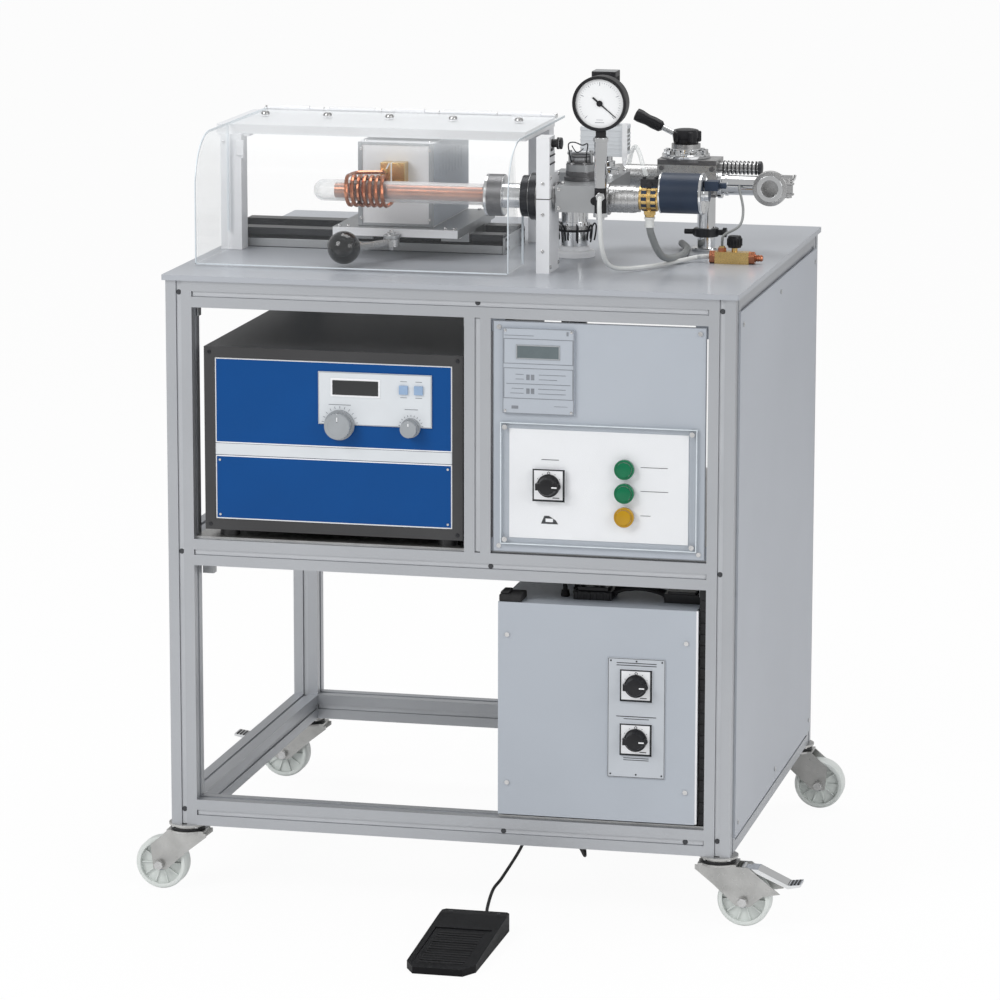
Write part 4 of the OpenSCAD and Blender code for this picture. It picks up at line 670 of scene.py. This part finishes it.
b.done("lcd_frame", "knobgrey", bevel=0.3)
b.box(106.2, -2.5, 737.4, 168.6, -1.9, 755.6)
b.done("lcd_window", "lcd", bevel=0.2)
b.screws((88.5, 187.5), (-2,), (658.5, 777.5), FRONT, 4.4, 1)
b.done("module_screws", "screw")
for z, x1 in ((581.5, 331), (546, 332), (509.5, 306)):
    b.dash(291, x1, z, 1.5, 0.8, 0.25)
b.dash(142.5, 168.5, 587, 1.5, 1.0, 0.25)
b.slab([(142, 491), (168, 491), (164, 497), (154, 503), (147, 503)], 1.25, 1.55)
b.done("label_print", "ink")
b.box(149, 1.0, 494, 160, 1.35, 499)
b.done("label_mark_window", "white")
# the clear cover's edges, drawn as opaque light bars: a painted highlight of its lit edges
for x0, x1 in ((81.0, 82.2), (373.8, 375.0)):
    b.box(x0, -2.95, 459, x1, 1.2, 641)
for z0, z1 in ((459.0, 460.2), (639.8, 641.0)):
    b.box(82.2, -2.95, z0, 373.8, 1.2, z1)
b.done("cover_edge_highlight", "acrylic_edge")


def switch_face(name, body, x, y, z):
    """The printed frame, marks and grip of a cam switch whose plate's front is y."""
    b.hollow(x - 24.2, z - 24.2, x + 24.2, z + 24.2, y, 2.0, 0.4)
    b.box(x + 21.2, y - 0.4, z - 24.2, x + 22.4, y, z + 24.2)
    b.box(x - 24.2, y - 0.4, z - 22.4, x + 24.2, y, z - 21.4)
    b.ring((x, y - 0.3, z + 18.6), BACK, 4.4, 2.8, 0.4, 20)
    b.box(x - 20, y - 0.3, z - 2.2, x - 18.8, y, z + 2.2)
    b.dash(x + 6, x + 16, z - 18.4, y, 1.2)
    for a in (60, 120, 150, 30):
        u, v = unit(a)
        b.cyl((x + 19 * u, y, z + 19 * v), FRONT, 1.2, 0.3, 10)
    b.done(name + "_print", "ink")
    b.lathe((x, y - 0.3, z), FRONT, [(17, 0), (17.2, 2), (15.4, 5.4), (13.6, 8), (12.9, 13), (11.6, 15.2),
            (8, 16.2)], 40)
    b.lathe((x + 3, y - 8.4, z), RIGHT, [(5.6, 0), (5.6, 8), (5.2, 12), (3.6, 15.6), (1.6, 16.6)], 20)
    b.done(name + "_grip", "black", body)
    b.box(x + 7.5, y - 16.7, z - 0.9, x + 15.5, y - 16.1, z + 0.9)
    b.done(name + "_pointer", "white", body)


switch_face("main_switch", "main_switch", 155, -6.3, 550)
switch_face("upper_switch", "upper_switch", 287, -2.0, 254.15)
switch_face("lower_switch", "lower_switch", 287, -2.0, 172.15)
for name, z, key in (("top_button", 578.5, "green"), ("middle_button", 543, "green"),
        ("low_button", 507.5, "yellow")):
    b.ring((268, -9.5, z), BACK, 29.6, 22.7, 6.6, 64).done(name + "_ring", key, bevel=0.5)
    b.lathe((268, -11.3, z), FRONT, [(11, 0), (10.6, 0.6), (8.4, 1.1), (4, 1.4), (0, 1.5)], 40)
    b.done(name + "_lens", key, name)

# ---- switch cabinet
b.box(243.8, 1.1, 113.4, 330.2, 2.9, 294.9).done("cabinet_label", "labelgrey", bevel=0.3)
b.hollow(244.4, 114, 329.6, 294.2, 1.1, 0.6, 0.25)
for z in (287.5, 284, 206.5):
    b.dash(257, 317, z, 1.1, 1.1, 0.25)
for z in (203, 143.5, 140.5):
    b.dash(268, 306, z, 1.1, 0.9, 0.25)
for x in (248.5, 287, 325.5):
    for z in (118.5, 290.5):
        b.cyl((x, 1.2, z), FRONT, 2.6, 0.9, 12)
b.done("cabinet_print", "ink")
b.box(374.6, 3.6, 47, 378.2, 9, 370)
b.done("cabinet_trim", "whitepaint", bevel=0.5)
b.box(378.6, 12, 44, 389.4, 20, 402)
for k in range(20):
    b.box(380, 10.2, 52 + 17 * k, 388, 12.4, 62 + 17 * k)
b.done("cable_duct", "black", bevel=0.4)
b.box(78, 4, 370.2, 112, 44, 381).box(79, 8, 380.6, 92, 40, 384.5)
b.done("cabinet_foam", "foam", bevel=2.5)
b.box(182, 44, 370, 240, 92, 383).box(188, 48, 383, 234, 88, 389)
for k in range(6):
    b.box(184 + 9.6 * k, 42.5, 371, 189 + 9.6 * k, 44.2, 382)
b.box(318, 50, 370, 372, 96, 384).box(324, 48, 384, 366, 90, 388)
b.done("cabinet_connectors", "black", bevel=0.8)
for k in range(4):
    y = 56 + 9 * k
    b.pipe([(238, y, 378 + k), (256, y - 2, 386 + k), (282, y, 388), (306, y + 2, 384 - k), (320, y, 379)], 5.5)
b.done("cabinet_leads", "rubber", smooth=60)
for x, z in ((77, 320), (77, 96), (375, 320), (375, 96)):
    s = -1 if x < 100 else 1
    b.cyl((x, 30, z), (s, 0, 0), 9, 1.6, 24).cyl((x, 260, z), (s, 0, 0), 9, 1.6, 24)
b.screws((100, 226, 352), (296,), (62, 354), BACK, 7, 2)
b.done("cabinet_screws", "screw")


# ---- hood
SHIELD_Y, SHIELD_R, BEND_Z = 96, 80, 958        # the shield's front, its bend's radius and where that begins
HINGE_Y, HINGE_Z = 498, 1036.5


def shield_outline(off=0.0):
    """(y, z) of the clear shield's side view from the lower front edge to the top rear, moved in by off."""
    pts = [(SHIELD_Y + off, 845), (SHIELD_Y + off, BEND_Z)]
    for k in range(1, 13):
        u, v = unit(180 - 7.5 * k)
        pts.append((SHIELD_Y + SHIELD_R + (SHIELD_R - off) * u, BEND_Z + (SHIELD_R - off) * v))
    pts.append((492, BEND_Z + SHIELD_R - off))
    return pts


def ribbon(x0, x1, off, t):
    """A band of thickness t along the shield's outline."""
    o, i = shield_outline(off), shield_outline(off + t)
    n = len(o)
    v = [P(x, p[0], p[1]) for x in (x0, x1) for p in o + i]
    f = []
    for k in range(n - 1):
        a, c = k, 2 * n + k
        f += [(a, a + 1, c + 1, c), (n + a, n + c, n + c + 1, n + a + 1), (a, n + a, n + a + 1, a + 1),
                (c, c + 1, n + c + 1, n + c)]
    f += [(0, 2 * n, 3 * n, n), (n - 1, 2 * n - 1, 4 * n - 1, 3 * n - 1)]
    b.add(v, f)


# the shield's edges, drawn as opaque light bands: a painted highlight of the clear sheets' lit edges
ribbon(-412.2, -410.6, -0.2, 3.4)
ribbon(68.8, 70.2, -0.2, 3.4)
b.box(-412, 95.8, 844.6, 70, 99.2, 846.2)
b.box(-412.1, 269.4, 872, -408.9, 272.1, 1034)
b.box(66.9, 199.6, 846, 70.1, 202.1, 924)
b.done("shield_edge_highlights", "acrylic_edge", "shield")
for x in (-386, -286, -187, -86, 18):
    b.lathe((x, 398, 1038.1), UP, [(6.4, 0), (6.8, 0.8), (6.6, 2.6), (5.4, 4.6), (3, 5.4), (2.6, 3.4),
            (0, 3.4)], 24)
b.done("shield_screws", "steel", "shield", slot="screw_steel")
for k in range(6):
    x = -412 + 93.2 * k
    b.cyl((min(x, 53), HINGE_Y, HINGE_Z), RIGHT, 7.2, 1.4, 20)
for x, side in ((-412.2, LEFT), (54.2, RIGHT)):
    b.lathe((x, HINGE_Y, HINGE_Z), side, [(4.6, 0), (4.6, 1.6), (3, 2.6)], 20)
b.done("hinge_pin_heads", "screw")
b.box(-398, 272.6, 988, -386, 277.2, 1011).box(-390.5, 274, 984, -386.6, 281, 1003)
b.box(-424.5, 276.6, 842.2, -390.5, 310.5, 845).box(19.5, 456.6, 842.2, 53.5, 490.5, 845)
b.box(-430, 286, 1016.5, -380, 308, 1020.5)
b.done("hood_post_fittings", "whitepaint", bevel=0.7)
for x, y in ((-407.5, 281), (-407.5, 306), (36.5, 461), (36.5, 486)):
    b.screw((x, y, 845), UP, 5, 2)
for x in (-419, -396):
    b.screw((x, 277, 1008), FRONT, 5, 1.6)
b.done("hood_post_screws", "screw")

# ---- rails, carriage, output box
PX, PY = -140, 222              # the clamp lever's pivot
for y in (317.4, 421.4):
    b.box(-423, y, 843, 11, y + 1, 855.5)
b.box(-427, 314, 842.4, -424.2, 456, 870)
b.box(12.2, 314, 842.4, 15, 456, 868)
b.box(-422, 349, 842.1, 10, 421, 845)
b.done("rail_strips", "alu", bevel=0.4)
for y in (326, 340, 430, 444):
    for z in (850, 864):
        b.screw((-427, y, z), LEFT, 5, 1.8)
        b.screw((15, y, z), RIGHT, 5, 1.8)
for k in range(7):
    for y in (333, 437):
        b.cyl((-400 + 66 * k, y, 871.4), UP, 7, 0.5, 20)
b.done("rail_screws", "blackmetal")
b.box(-235.6, 236.3, 875.7, -40.4, 237.4, 887.9)
b.done("carriage_front_strip", "whitepaint", "carriage", bevel=0.4)
b.screws((-228, -214, -62, -48), (248, 476), (888.3,), UP, 6.5, 2.4)
b.hexagon((PX, PY, 880.2), UP, 13, 5).cyl((PX, PY, 885), UP, 7, 3)
for x in (-222, -54):
    b.cyl((x, 311, 868), FRONT, 6, 1.5, 20)
b.done("carriage_screws", "screw", "carriage")
for x0, x1 in ((-201.3, -194.6), (-90.4, -83.7)):
    b.box(x0, 258.2, 888.6, x1, 262, 1016.4)
b.box(-194.6, 258.2, 1012.2, -90.4, 262, 1016.4).box(-194.6, 258.2, 888.6, -90.4, 262, 893)
b.done("output_box_frame", "knobgrey", "carriage", bevel=0.6)
b.box(-83.9, 264, 890, -83.1, 490, 1015)
for k in range(8):
    b.box(-83.2, 300 + 20 * k, 960, -82.7, 310 + 20 * k, 996)
b.done("output_box_side", "cover", "carriage", bevel=0.3)
b.screws((-196, -89), (258.2,), (900, 1006), FRONT, 5, 1.5)
b.screws((-193, -92), (276, 376, 478), (1016.3,), UP, 6, 1.8)
b.screws((-190, -95), (492,), (900, 1004), BACK, 6, 1.8)
b.done("output_box_screws", "screw", "carriage")
for x in (-165, -120):
    b.lathe((x, 491.6, 925), BACK, NIPPLE, 24)
b.done("output_box_nipples", "brass", "carriage")
b.box(-160.5, 235.6, 949.6, -144.6, 259.6, 988.5).box(-142.4, 235.6, 949.6, -122.6, 259.6, 988.5)
b.done("terminal_blocks", "brass", "carriage", bevel=0.6)
b.slab([(-158, 968), (-155.6, 968), (-145.0, 988), (-147.4, 988)], 235.2, 236)
b.box(-144.5, 236.2, 950.5, -142.5, 259, 988)
b.done("terminal_insulation", "white", "carriage")
for x, z in ((-155, 955), (-132, 955), (-132, 982)):
    b.hexagon((x, 235.6, z), FRONT, 8, 3.2)
b.hexagon((-154, 235.2, 975), FRONT, 9.5, 6)
b.hexagon((-134.2, 233.0, 957), FRONT, 9.5, 5)
b.done("terminal_nuts", "brass", "carriage", bevel=0.3)
u = Vector((-50, -92, 0)).normalized()
b.cyl((PX + u.x * 11.5, PY + u.y * 11.5, 869), u, 11.8, 69)
b.lathe((PX + u.x * 70, PY + u.y * 70, 869.6), u, [(6.4, 0), (8.2, 1), (8.2, 7), (7, 10), (7, 13)], 32)
b.ring((PX, PY, 863.2), UP, 25, 12, 11.6, 40)
b.done("lever_arm", "steel", "clamp_lever", bevel=0.3)

# ---- tube, flanges, stand
b.ring((21.2, AXY, AXZ), RIGHT, 63, 60, 3.4, 64)
b.lathe((48, AXY, AXZ), RIGHT, [(30.4, 0), (29.6, 0.8), (19, 1.0), (18.4, 8)], 48)
b.ring((56, AXY, AXZ), RIGHT, 36.6, 34, 19.6)
b.ring((101.6, AXY, AXZ), RIGHT, 40, 35, 1.8, 40)
b.done("flange_bright", "chrome", bevel=0.3)
b.ring((25.4, AXY, AXZ), RIGHT, 62.8, 60, 22.2, 64)
for u, v in around(6, 60, 30):
    b.cyl((21.2, AXY + 25 * u, AXZ + 25 * v), LEFT, 6.4, 2.2, 20)
b.done("flange_dark", "darksteel", bevel=0.3)
b.lathe((75.6, AXY, AXZ), RIGHT, [(22, 0), (29.8, 0.4), (31, 1.6), (31, 12), (30.2, 13.2)], 64)
b.lathe((88.9, AXY, AXZ), RIGHT, [(34, 0), (35, 1), (35, 12), (34, 13)], 64)
b.done("flange_black", "blackmetal")
b.ring((20.2, AXY, AXZ), RIGHT, 36.5, 32.6, 2)
b.ring((30.2, AXY, AXZ), LEFT, 31.4, 23.4, 1.2)
b.done("tube_seals", "rubber")
b.screws((123,), (144, 200), (851, 985), RIGHT, 6, 2)
for z in (875, 930, 976):
    b.screw((113, 138, z), FRONT, 5.5, 1.6)
b.done("stand_screws", "screw")
b.box(102.6, 137.7, 952.4, 123.4, 206.3, 953.6)
b.box(123.2, 140, 1004, 124.4, 172, 1006).box(123.2, 140, 1016, 124.4, 172, 1018)
b.lathe((122.8, 154.5, 1035.2), RIGHT, [(6.2, 0), (6.2, 8), (8.9, 8.6), (8.9, 11), (8.2, 12), (8.9, 13),
        (8.6, 15.6), (5, 16.6)], 24)
b.box(118, 146, 1024, 124, 163, 1028)
b.done("stand_fittings", "black")
b.box(103.4, 139, 842, 122.6, 205, 846)
b.done("stand_foot", "alu", bevel=0.6)

# ---- places on the right half of the table
SX, SY = 152, 225               # the stack on the block
GX, GY, GZ = 201, 135, 1099     # the gauge's tube, and its dial's middle
LX, LY = 121, 330               # the pump line
BX = 254                        # the brass ring's left end
VX, VY = 270, 448               # the diaphragm valve
EX, EZ = 408, 944               # the elbow's mouth
RX, RY = 304, 442               # the support rod
MX, MY, MZ = 335, 309, 851      # the manifold's left end and axis
KX = 372                        # the manifold's knob
OX, OZ = 156, 108               # the pump motor's axis

# ---- vacuum block and what stands on it
b.screws((135, 196), (150,), (939, 967), FRONT, 6.5, 1.6)
b.screws((136, 195), (170, 345), (973,), UP, 6.5, 3)
for u, v in around(6, 60):
    b.hexagon((SX + 18.6 * u, SY + 18.6 * v, 997), UP, 5.5, 3)
b.done("block_screws", "screw")
b.lathe((SX, SY, 973), UP, [(25.5, 0), (25.5, 5), (22.6, 6), (22.6, 12), (22.3, 12.5), (20, 23), (20.6, 24.2),
        (20.6, 26)], 48)
b.lathe((SX, SY, 999), UP, [(15, 0), (15, 4), (12, 5), (14.4, 9), (14.4, 10.4)], 40)
b.ring((127, AXY, AXZ), RIGHT, 46, 35, 3)
b.done("stack_flange", "darksteel", bevel=0.3)
pts = [(140, 214, 1000), (138, 210, 1013), (137, 207, 1028), (146, 207, 1031), (158, 207, 1027),
        (166, 207, 1029), (164, 210, 1014), (163, 214, 1000)]
b.pipe(pts, 2.0, 8, 6)
b.pipe([(142, 207, 1026), (150, 206, 1016), (160, 207, 1022)], 1.6, 8, 6)
b.done("stack_yoke", "blackmetal")
b.box(155.4, 283.2, 1047.4, 192.6, 316.8, 1129.6)
for k in range(5):
    b.box(154.8, 286 + 5.6 * k, 1060, 193.2, 288.6 + 5.6 * k, 1122)
b.done("transmitter_head", "black", bevel=1.2)
b.box(140.4, 273.9, 1002.6, 207.6, 326.1, 1008).box(140.4, 273.9, 1041, 207.6, 326.1, 1047.4)
for z in (1014, 1020, 1026, 1032):
    b.box(140.2, 274.2, z, 207.8, 325.8, z + 2.4)
b.box(141.4, 274.4, 1006, 206.6, 325.6, 1042)
b.done("transmitter_body", "lightgrey", bevel=0.6)
b.box(205.5, 270.5, 998, 213, 274.5, 1054).cyl((209, 272.5, 990), UP, 6, 8, 20)
b.done("transmitter_strip", "white", bevel=0.8)
b.lathe((174, 300, 972.6), UP, [(22, 0), (22, 3), (20.5, 4), (20.5, 9), (22, 10), (22, 12), (11, 14),
        (11, 30)], 48)
b.ring((174, 300, 985), UP, 30, 20, 8, 40)
b.done("transmitter_neck", "chrome", bevel=0.3)

# the pump line under the block, its clips and its base ring
b.lathe((LX, LY, 850), UP, [(20.4, 0), (20.4, 82)], 64)
b.ring((LX, LY, 891), UP, 46, 40, 5, 64)
b.ring((LX, LY, 918), UP, 46, 40, 14, 64)
b.done("pump_line_bright", "chrome")
b.lathe((LX, LY, 842.1), UP, [(31, 0), (31.4, 0.6), (31.4, 7), (30, 9.4), (24, 10.6), (23, 16), (21, 17)], 64)
b.done("pump_line_base", "whitepaint")
b.ring((LX, LY, 881.6), UP, 53.4, 40.6, 3.6, 64)
CLIP = ((24, 868), (24, 874), (26, 884), (30, 892), (33, 888), (32, 876), (30, 866))      # radius and height
for u, v in around(8, 45, 20):
    b.pipe([(LX + r * u, LY + r * v, z) for r, z in CLIP], 2.6, 8, 4)
b.done("pump_line_clips", "blackmetal")

# ---- gauge
b.cyl((GX, 125.3, GZ), FRONT, 72.4, 0.45, 96, 0.05)
b.done("gauge_dial", "dial")
for k in range(41):
    a = radians(225 - 270 * k / 40)
    r0, w = (26.2, 0.4) if k % 10 == 0 else ((28.0, 0.3) if k % 5 == 0 else (29.2, 0.18))
    b.spoke(GX, GZ, a, r0, 31.4, 124.72, 124.9, w, w)
b.box(194, 124.74, 1070.5, 208, 124.9, 1071.3).box(196, 124.74, 1074.5, 206, 124.9, 1075.1)
b.done("gauge_scale", "inkgrey")
b.lathe((GX, 126, GZ), FRONT, [(36.2, 0), (36.2, 4.6), (37.4, 6.0), (39.4, 6.2), (40.6, 5.2), (40.8, 3),
        (40.8, -6), (40.2, -7), (38, -7)], 96, False)
b.done("gauge_bezel", "black")
b.lathe((GX, 149, GZ), BACK, [(39, 0), (38, 1.4), (20, 2.4), (8, 2.8)], 64)
b.hexagon((GX, GY, 1048.5), UP, 15, 9)
b.done("gauge_back", "black")
b.ring((GX, GY, 973.5), UP, 19, 16, 74.5, 40)
b.ring((GX, GY, 930), UP, 21, 16, 6, 40)
b.ring((GX, GY, 1042), UP, 22, 16, 5, 40)
b.cyl((GX, GY, 926), UP, 12, 8)
b.hexagon((203, 126.4, 961), FRONT, 12, 5)
b.done("gauge_tube", "chrome", bevel=0.3)

# ---- line to the right: brass ring, solenoid, valve, elbow
b.ring((202, AXY, AXZ), RIGHT, 48.6, 38, 6.2, 64)
for k in range(4):
    b.ring((209 + 9.6 * k, AXY, AXZ), RIGHT, 41, 38, 7.4, 64)
b.done("line_sleeves", "steel", bevel=0.5)
b.ring((254.2, AXY, 956), RIGHT, 37, 34, 30.6, 64)
for x in (257.6, 271.6):
    b.lathe((x, AXY, 956), RIGHT, [(18.6, 0), (20.5, 0.8), (20.5, 8.2), (18.6, 9)], 12)
b.cyl((268, AXY, 927.4), UP, 14.6, 12)
b.hexagon((268, AXY, 931), UP, 17, 6)
b.done("brass_ring", "brass", bevel=0.3)
b.box(255.4, 163.4, 969.4, 282.6, 186.6, 984.6)
for x, y in ((260, 168), (278, 168), (260, 182), (278, 182)):
    b.hexagon((x, y, 984.4), UP, 5, 3.4)
b.cyl((269, 163.6, 976), FRONT, 9, 2.4, 24)
b.done("solenoid_clamp", "blackmetal", bevel=0.5)
b.lathe((345.4, AXY, 964), RIGHT, [(30.3, 0), (30.9, 0.8), (30.9, 3.6), (29, 4.8), (14, 5.2), (11.4, 6),
        (11.4, 12.4)], 64)
b.lathe((284.6, AXY, 964), RIGHT, [(29.4, 0), (30.4, 0.6), (30.4, 2.2), (30.1, 2.6)], 64)
b.done("solenoid_end", "chrome")
b.box(352, 161, 970, 372, 183, 984).cyl((371, AXY, 977), RIGHT, 9, 12, 24)
b.done("solenoid_plug", "navy", bevel=1.2)
b.lathe((VX, VY, 983), UP, [(36.4, 0), (36.8, 0.8), (36.8, 6.4), (36, 7.2), (24, 7.4), (22.9, 9), (22.9, 14),
        (20, 19), (18.8, 22)], 64)
for u, v in around(12, 30, 15):
    b.hexagon((VX + 30.4 * u, VY + 30.4 * v, 990), UP, 7.4, 6.2)
b.done("bonnet", "chrome")
b.ring((VX, VY, 979), UP, 78, 60, 4.2, 64)
b.box(231.6, 417.6, 926.6, 322.4, 421, 931).box(231.6, 417.6, 975, 322.4, 421, 982.6)
for x in (238, 316):
    for z in (936, 970):
        b.hexagon((x, 418, z), FRONT, 7, 4)
        b.hexagon((x, 478, z), BACK, 7, 4)
b.done("valve_ribs", "darksteel", bevel=0.4)
u, v = unit(25)
w = Vector((-u, 0, v))
base = Vector((258, 448, 1017.3))
b.cyl(tuple(base + w * 6), w, 8.8, 30, 24)
b.done("lever_rod", "chrome", "valve_lever")
b.lathe(tuple(base + w * 27), w, [(5.4, 0), (8.8, 4), (9.4, 16), (8.6, 26), (10.2, 40), (9.6, 46), (6, 47)], 24)
b.lathe((VX, VY, 1005.4), UP, [(18.2, 0), (19, 1), (19, 7), (20.6, 9), (20.6, 17), (18.6, 21), (12, 22.4),
        (6, 22.4)], 10)
for u, v in around(5, 72, -60):
    b.cyl((VX + 19 * u, VY + 19 * v, 1008), UP, 9, 16.5, 16, 1.5)
b.done("lever_cap", "black", "valve_lever")
for k in range(9):
    b.lathe((325.5 + 6.2 * k, 464, 968), RIGHT, [(8.4, 0), (10.6, 1.2), (10.6, 2.6), (8.4, 3.8)], 32)
b.lathe((380, 464, 968), RIGHT, [(8.4, 0), (10.8, 0.6), (10.8, 5), (8, 6.6), (0, 7)], 32)
b.done("bellows", "blackmetal")
b.ring((323.4, 440, EZ), RIGHT, 41.6, 29, 6)
b.ring((329.6, 440, EZ), RIGHT, 30, 28, 64)
b.ring((334, 440, EZ), RIGHT, 33, 28, 5)
b.done("elbow_tube", "chrome", bevel=0.3)
b.lathe((EX, 405.6, EZ), BACK, [(21, 0), (26.4, 0.6), (27, 2.6), (27, 9.4), (26.4, 11.6),
        (21, 12.2)], 64, False)
b.box(427, 406, 950.5, 444, 417, 953.4).box(427, 406, 934.6, 444, 417, 937.4)
b.done("clamp_ring", "steel", bevel=0.3)
b.cyl((436, 411.5, 930), UP, 6.4, 30, 24)
b.hexagon((436, 411.5, 930.6), UP, 10, 4)
pts = [(424, 411.5, 966), (428, 411.5, 958), (436, 411.5, 955), (444, 411.5, 958), (446, 411.5, 966)]
b.pipe(pts, 4.2, 10, 5)
b.done("wing_nut", "screw", bevel=0.2)
b.ring((EX, 404.9, EZ), BACK, 40.4, 26.6, 2.2, 64)
b.done("port_face", "chrome", bevel=0.3)

# ---- support rod
b.ring((RX, RY, 846), UP, 27.8, 26, 92)
b.lathe((RX, RY, 842.1), UP, [(22, 0), (22.4, 0.6), (22.4, 3.6), (21, 4.6), (15, 5)], 48)
b.done("rod_bright", "chrome")
b.lathe((RX, RY, 863.4), UP, [(18, 0), (19.2, 0.8), (19.2, 12.4), (18, 13.2)], 32)
b.box(284, 436, 865, 292, 448, 875).cyl((286, 442, 870), LEFT, 8, 16, 20)
b.box(316, 438, 866, 332, 446, 874).cyl((330, 442, 870), RIGHT, 15, 6, 12)
b.done("rod_clamp", "blackmetal", bevel=0.5)

# ---- brass manifold
for x in (334.2, 394.6):
    b.hexagon((x, MY, MZ), RIGHT, 17.8, 9)
b.hexagon((353, MY, 859.6), UP, 12, 6)
b.lathe((403, MY, MZ), RIGHT, [(6, 0), (6, 2), (4.6, 2.6), (5.4, 6), (4.4, 6.6), (5.2, 10), (3.6, 12.6)], 24)
b.done("manifold_nuts", "copper", bevel=0.3)
b.lathe((KX, MY, 866.4), UP, [(9.8, 0), (10.4, 2)] + [(11.4 if k % 2 else 10.6, 3 + k) for k in range(11)]
        + [(10.6, 15), (9.4, 17.6), (4, 18.2)], 24)
for k in range(16):
    a = 2 * pi * k / 16
    b.cyl((KX + 11 * cos(a), MY + 11 * sin(a), 869.4), UP, 1.8, 10.6, 8, 0.4)
b.done("manifold_knob_cap", "black", "manifold_knob")

# ---- hoses, which stand for their plain solids


def hose(name, pts, d, mat, extra=None):
    b.pipe(pts, d, 16, 10)
    if extra:
        extra(b)
    o = b.done(name, mat, slot="hose_pvc", smooth=60)
    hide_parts("hoses")


hose("gauge_hose", [(GX + 2, GY - 9.1, AXZ + 8), (GX + 2, GY - 17, AXZ + 2), (GX + 3, GY - 20, AXZ - 18),
        (GX + 6, GY - 10, TOP + 36), (GX + 18, GY + 20, TOP + 10), (GX + 60, GY + 80, TOP + 5),
        (MX - 30, MY - 6, TOP + 6), (MX - 12, MY, TOP + 9), (MX - 0.3, MY, TOP + 9)], 7, "hose")
hose("drain_hose", [(BX + 14, AXY, AXZ - 25.5), (BX + 14, AXY, AXZ - 38), (BX + 16, AXY + 5, AXZ - 54),
        (BX + 24, AXY + 24, AXZ - 82), (BX + 30, AXY + 60, TOP + 16), (BX + 34, AXY + 150, TOP + 8),
        (BX + 30, AXY + 220, TOP + 8), (RX - 40, RY + 10, TOP + 8)], 11, "hosegrey")
hose("elbow_line", [(358, 425.2, 944), (360, 414, 941), (372, 380, 914), (372, MY + 40, TOP + 52),
        (MX + 20, MY + 8, TOP + 42), (MX + 18, MY, TOP + 34), (MX + 18, MY, TOP + 26.2)], 4, "hosegrey")
for k in range(5):
    x, y, z = 166 + 14 * k, 63 + 20 * (k % 2), 370

    def gland(b, x=x, y=y, z=z):
        b.cyl((x, y, z), UP, 12, 10, 24)
        b.hexagon((x, y, z + 1), UP, 13, 4)
    hose("control_hose_%d" % (k + 1), [(x, y, z + 10), (x, y, z + 22), (x + 2, y + 4, z + 38),
            (x + 2, y + 4, 443)],
         7 + k % 2, "rubber", extra=gland)
b.lathe((268, AXY, 927), DOWN, [(8, 0), (8, 3), (6.6, 3.6), (6.6, 12), (7.2, 12.6), (7.2, 15), (6.2, 15.6)], 24)
b.done("drain_elbow", "hose")
pts = [(214, 284, 992), (222, 262, 1012), (234, 232, 1024), (246, 204, 1016), (256, 184, 998), (262, 176, 986)]
b.pipe(pts, 6.5, 16)
b.done("signal_tube", "tube_clear", smooth=60)

# ---- vacuum pump
for k in range(15):
    a = radians(-30 + 240 * k / 14)
    if not (abs(cos(a)) < 0.52 and sin(a) > 0):
        b.spoke(OX, OZ, a, 62, 72, 440, 560, 1.2, 0.9)
b.lathe((OX, 558, OZ), BACK, [(66, 0), (67.5, 2), (67.5, 22), (64, 28), (50, 30.5), (20, 31)], 48)
b.box(122, 462, 196, 190, 548, 203)
b.lathe((OX, 424.6, OZ), BACK, [(68, 0), (68, 8), (62, 12)], 48)
b.box(84, 303, 226, 228, 427, 234.5).box(84, 303, 46, 228, 427, 54)
b.done("pump_ribs", "pump", bevel=0.8)
for r in (18, 30, 42, 54):
    b.ring((OX, 588.6, OZ), BACK, 2 * r + 3, 2 * r - 3, 0.9, 48)
b.done("pump_fan_openings", "slot")
b.ring((230.6, 350, 90), RIGHT, 40, 28, 4, 40)
for x, y in ((92, 312), (220, 312), (92, 418), (220, 418)):
    b.hexagon((x, y, 234.4), UP, 9, 4)
for z in (60, 220):
    for y in (316, 414):
        b.hexagon((81, y, z), LEFT, 9, 4)
b.lathe((185, 365, 272.6), UP, [(24.4, 0), (25, 1), (25, 4), (20, 6.4), (8, 7)], 40)
b.done("pump_fittings", "screw", bevel=0.3)
b.cyl((231, 350, 90), RIGHT, 28, 2.4, 40)
b.done("pump_sight_glass", "display")
b.ring((LX, LY, 233.2), UP, 56, 40.4, 6)
b.ring((LX, LY, 424), UP, 50, 40.4, 5)
b.done("pump_line_collars", "steel", bevel=0.4)
